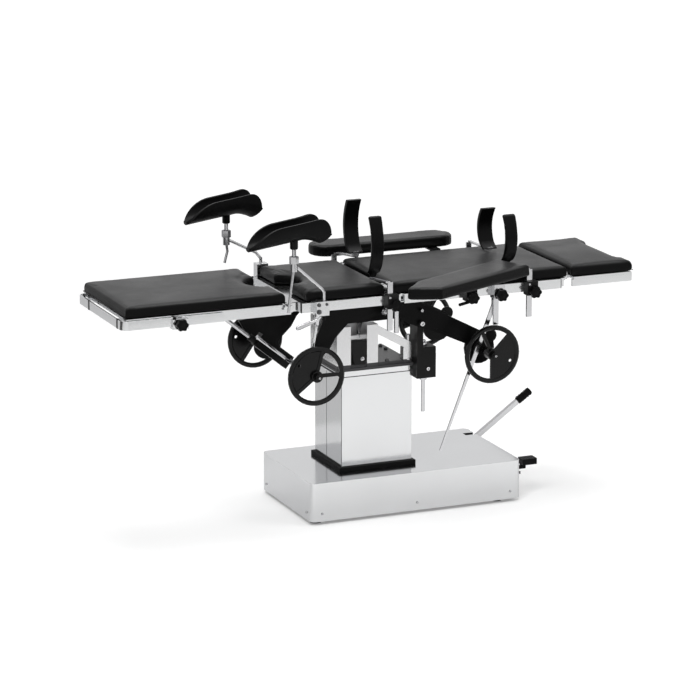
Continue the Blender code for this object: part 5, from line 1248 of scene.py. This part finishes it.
def area_light(name, place, target, size, power, mirrored=True):
    """A rectangular lamp aimed at a place; one that isn't mirrored stays out of reflections."""
    light = bpy.data.lights.new(name, "AREA")
    light.shape = "RECTANGLE"
    light.size, light.size_y = size
    light.energy = power
    lamp = bpy.data.objects.new(name, light)
    lamp.location = place
    lamp.rotation_euler = (Vector(target) - Vector(place)).to_track_quat("-Z", "Y").to_euler()
    lamp.visible_glossy = mirrored
    bpy.context.scene.collection.objects.link(lamp)


def card(name, place, target, size, shade):
    """A card beside the set, which only reflections see, so that bright metal has contrast."""
    work = bmesh.new()
    bmesh.ops.create_grid(work, x_segments=1, y_segments=1, size=0.5)
    mesh = bpy.data.meshes.new(name)
    work.to_mesh(mesh)
    work.free()
    piece = bpy.data.objects.new(name, mesh)
    piece.location = place
    piece.rotation_euler = (Vector(target) - Vector(place)).to_track_quat("Z", "Y").to_euler()
    piece.scale = (*size, 1)
    piece.visible_camera = False
    piece.visible_shadow = False
    piece.visible_diffuse = False
    bpy.context.scene.collection.objects.link(piece)
    surface = Surface(f"{name}_shade", (0.03, 0.03, 0.03), 1.0)
    surface.constant(Emission_Color=(*WHITE, 1), Emission_Strength=shade)
    mesh.materials.append(surface.material)


def lights():
    """Soft studio lamps, and the cards that bright metal mirrors."""
    middle = world(0, 0, 0.6)
    area_light("key", world(-2.2, -3.4, 4.2), middle, (2.6, 2.0), 150, False)
    area_light("fill", world(3.6, -2.6, 2.6), middle, (2.0, 2.0), 60, False)
    area_light("top", world(0.2, 0.6, 4.4), middle, (3.2, 2.0), 110)
    card("card_left", world(-3.4, 0.6, 0.6), world(0, 0, 0.5), (2.4, 1.7), 0.0)
    card("card_low", world(0.4, -4.6, 0.1), world(0, 0, 0.5), (2.6, 0.5), 0.0)
    card("card_behind", world(-0.9, 1.6, 0.02), world(-0.9, 1.6, 1.0), (1.0, 1.2), 0.66)


def camera():
    """The photograph's camera."""
    data = bpy.data.cameras.new("camera")
    data.sensor_width = SENSOR
    data.lens = CAMERA_FOCAL_PIXELS / IMAGE_PIXELS * SENSOR
    data.clip_end = 60
    eye = bpy.data.objects.new("camera", data)
    eye.location = ORIGIN + Vector(CAMERA_PLACE)
    eye.rotation_euler = (math.pi / 2 - CAMERA_DIP, 0, -CAMERA_TURN)
    bpy.context.scene.collection.objects.link(eye)
    bpy.context.scene.camera = eye


camera()
make_materials()
dress_nodes()
table_cushions()
far_pad("hip_support_far", "hip_far", *HIP_PAD)
far_pad("shoulder_support_far", "shoulder_far", *SHOULDER_PAD)
troughs()
wheel_fittings()
base_fittings()
yoke_fittings()
jack_fittings()
yoke_gap_shade()
bright_posts()
column_seams()
plate_bolts()
end_rail_bands()
crutch_clamp_details()
knob_inserts()
rail_caps()
clamp_screws()
lever_rings()
pedal_ribs()
stay_fittings()
crutch_fittings()
floor()
sky()
lights()
bpy.context.scene.view_settings.view_transform = "Standard"
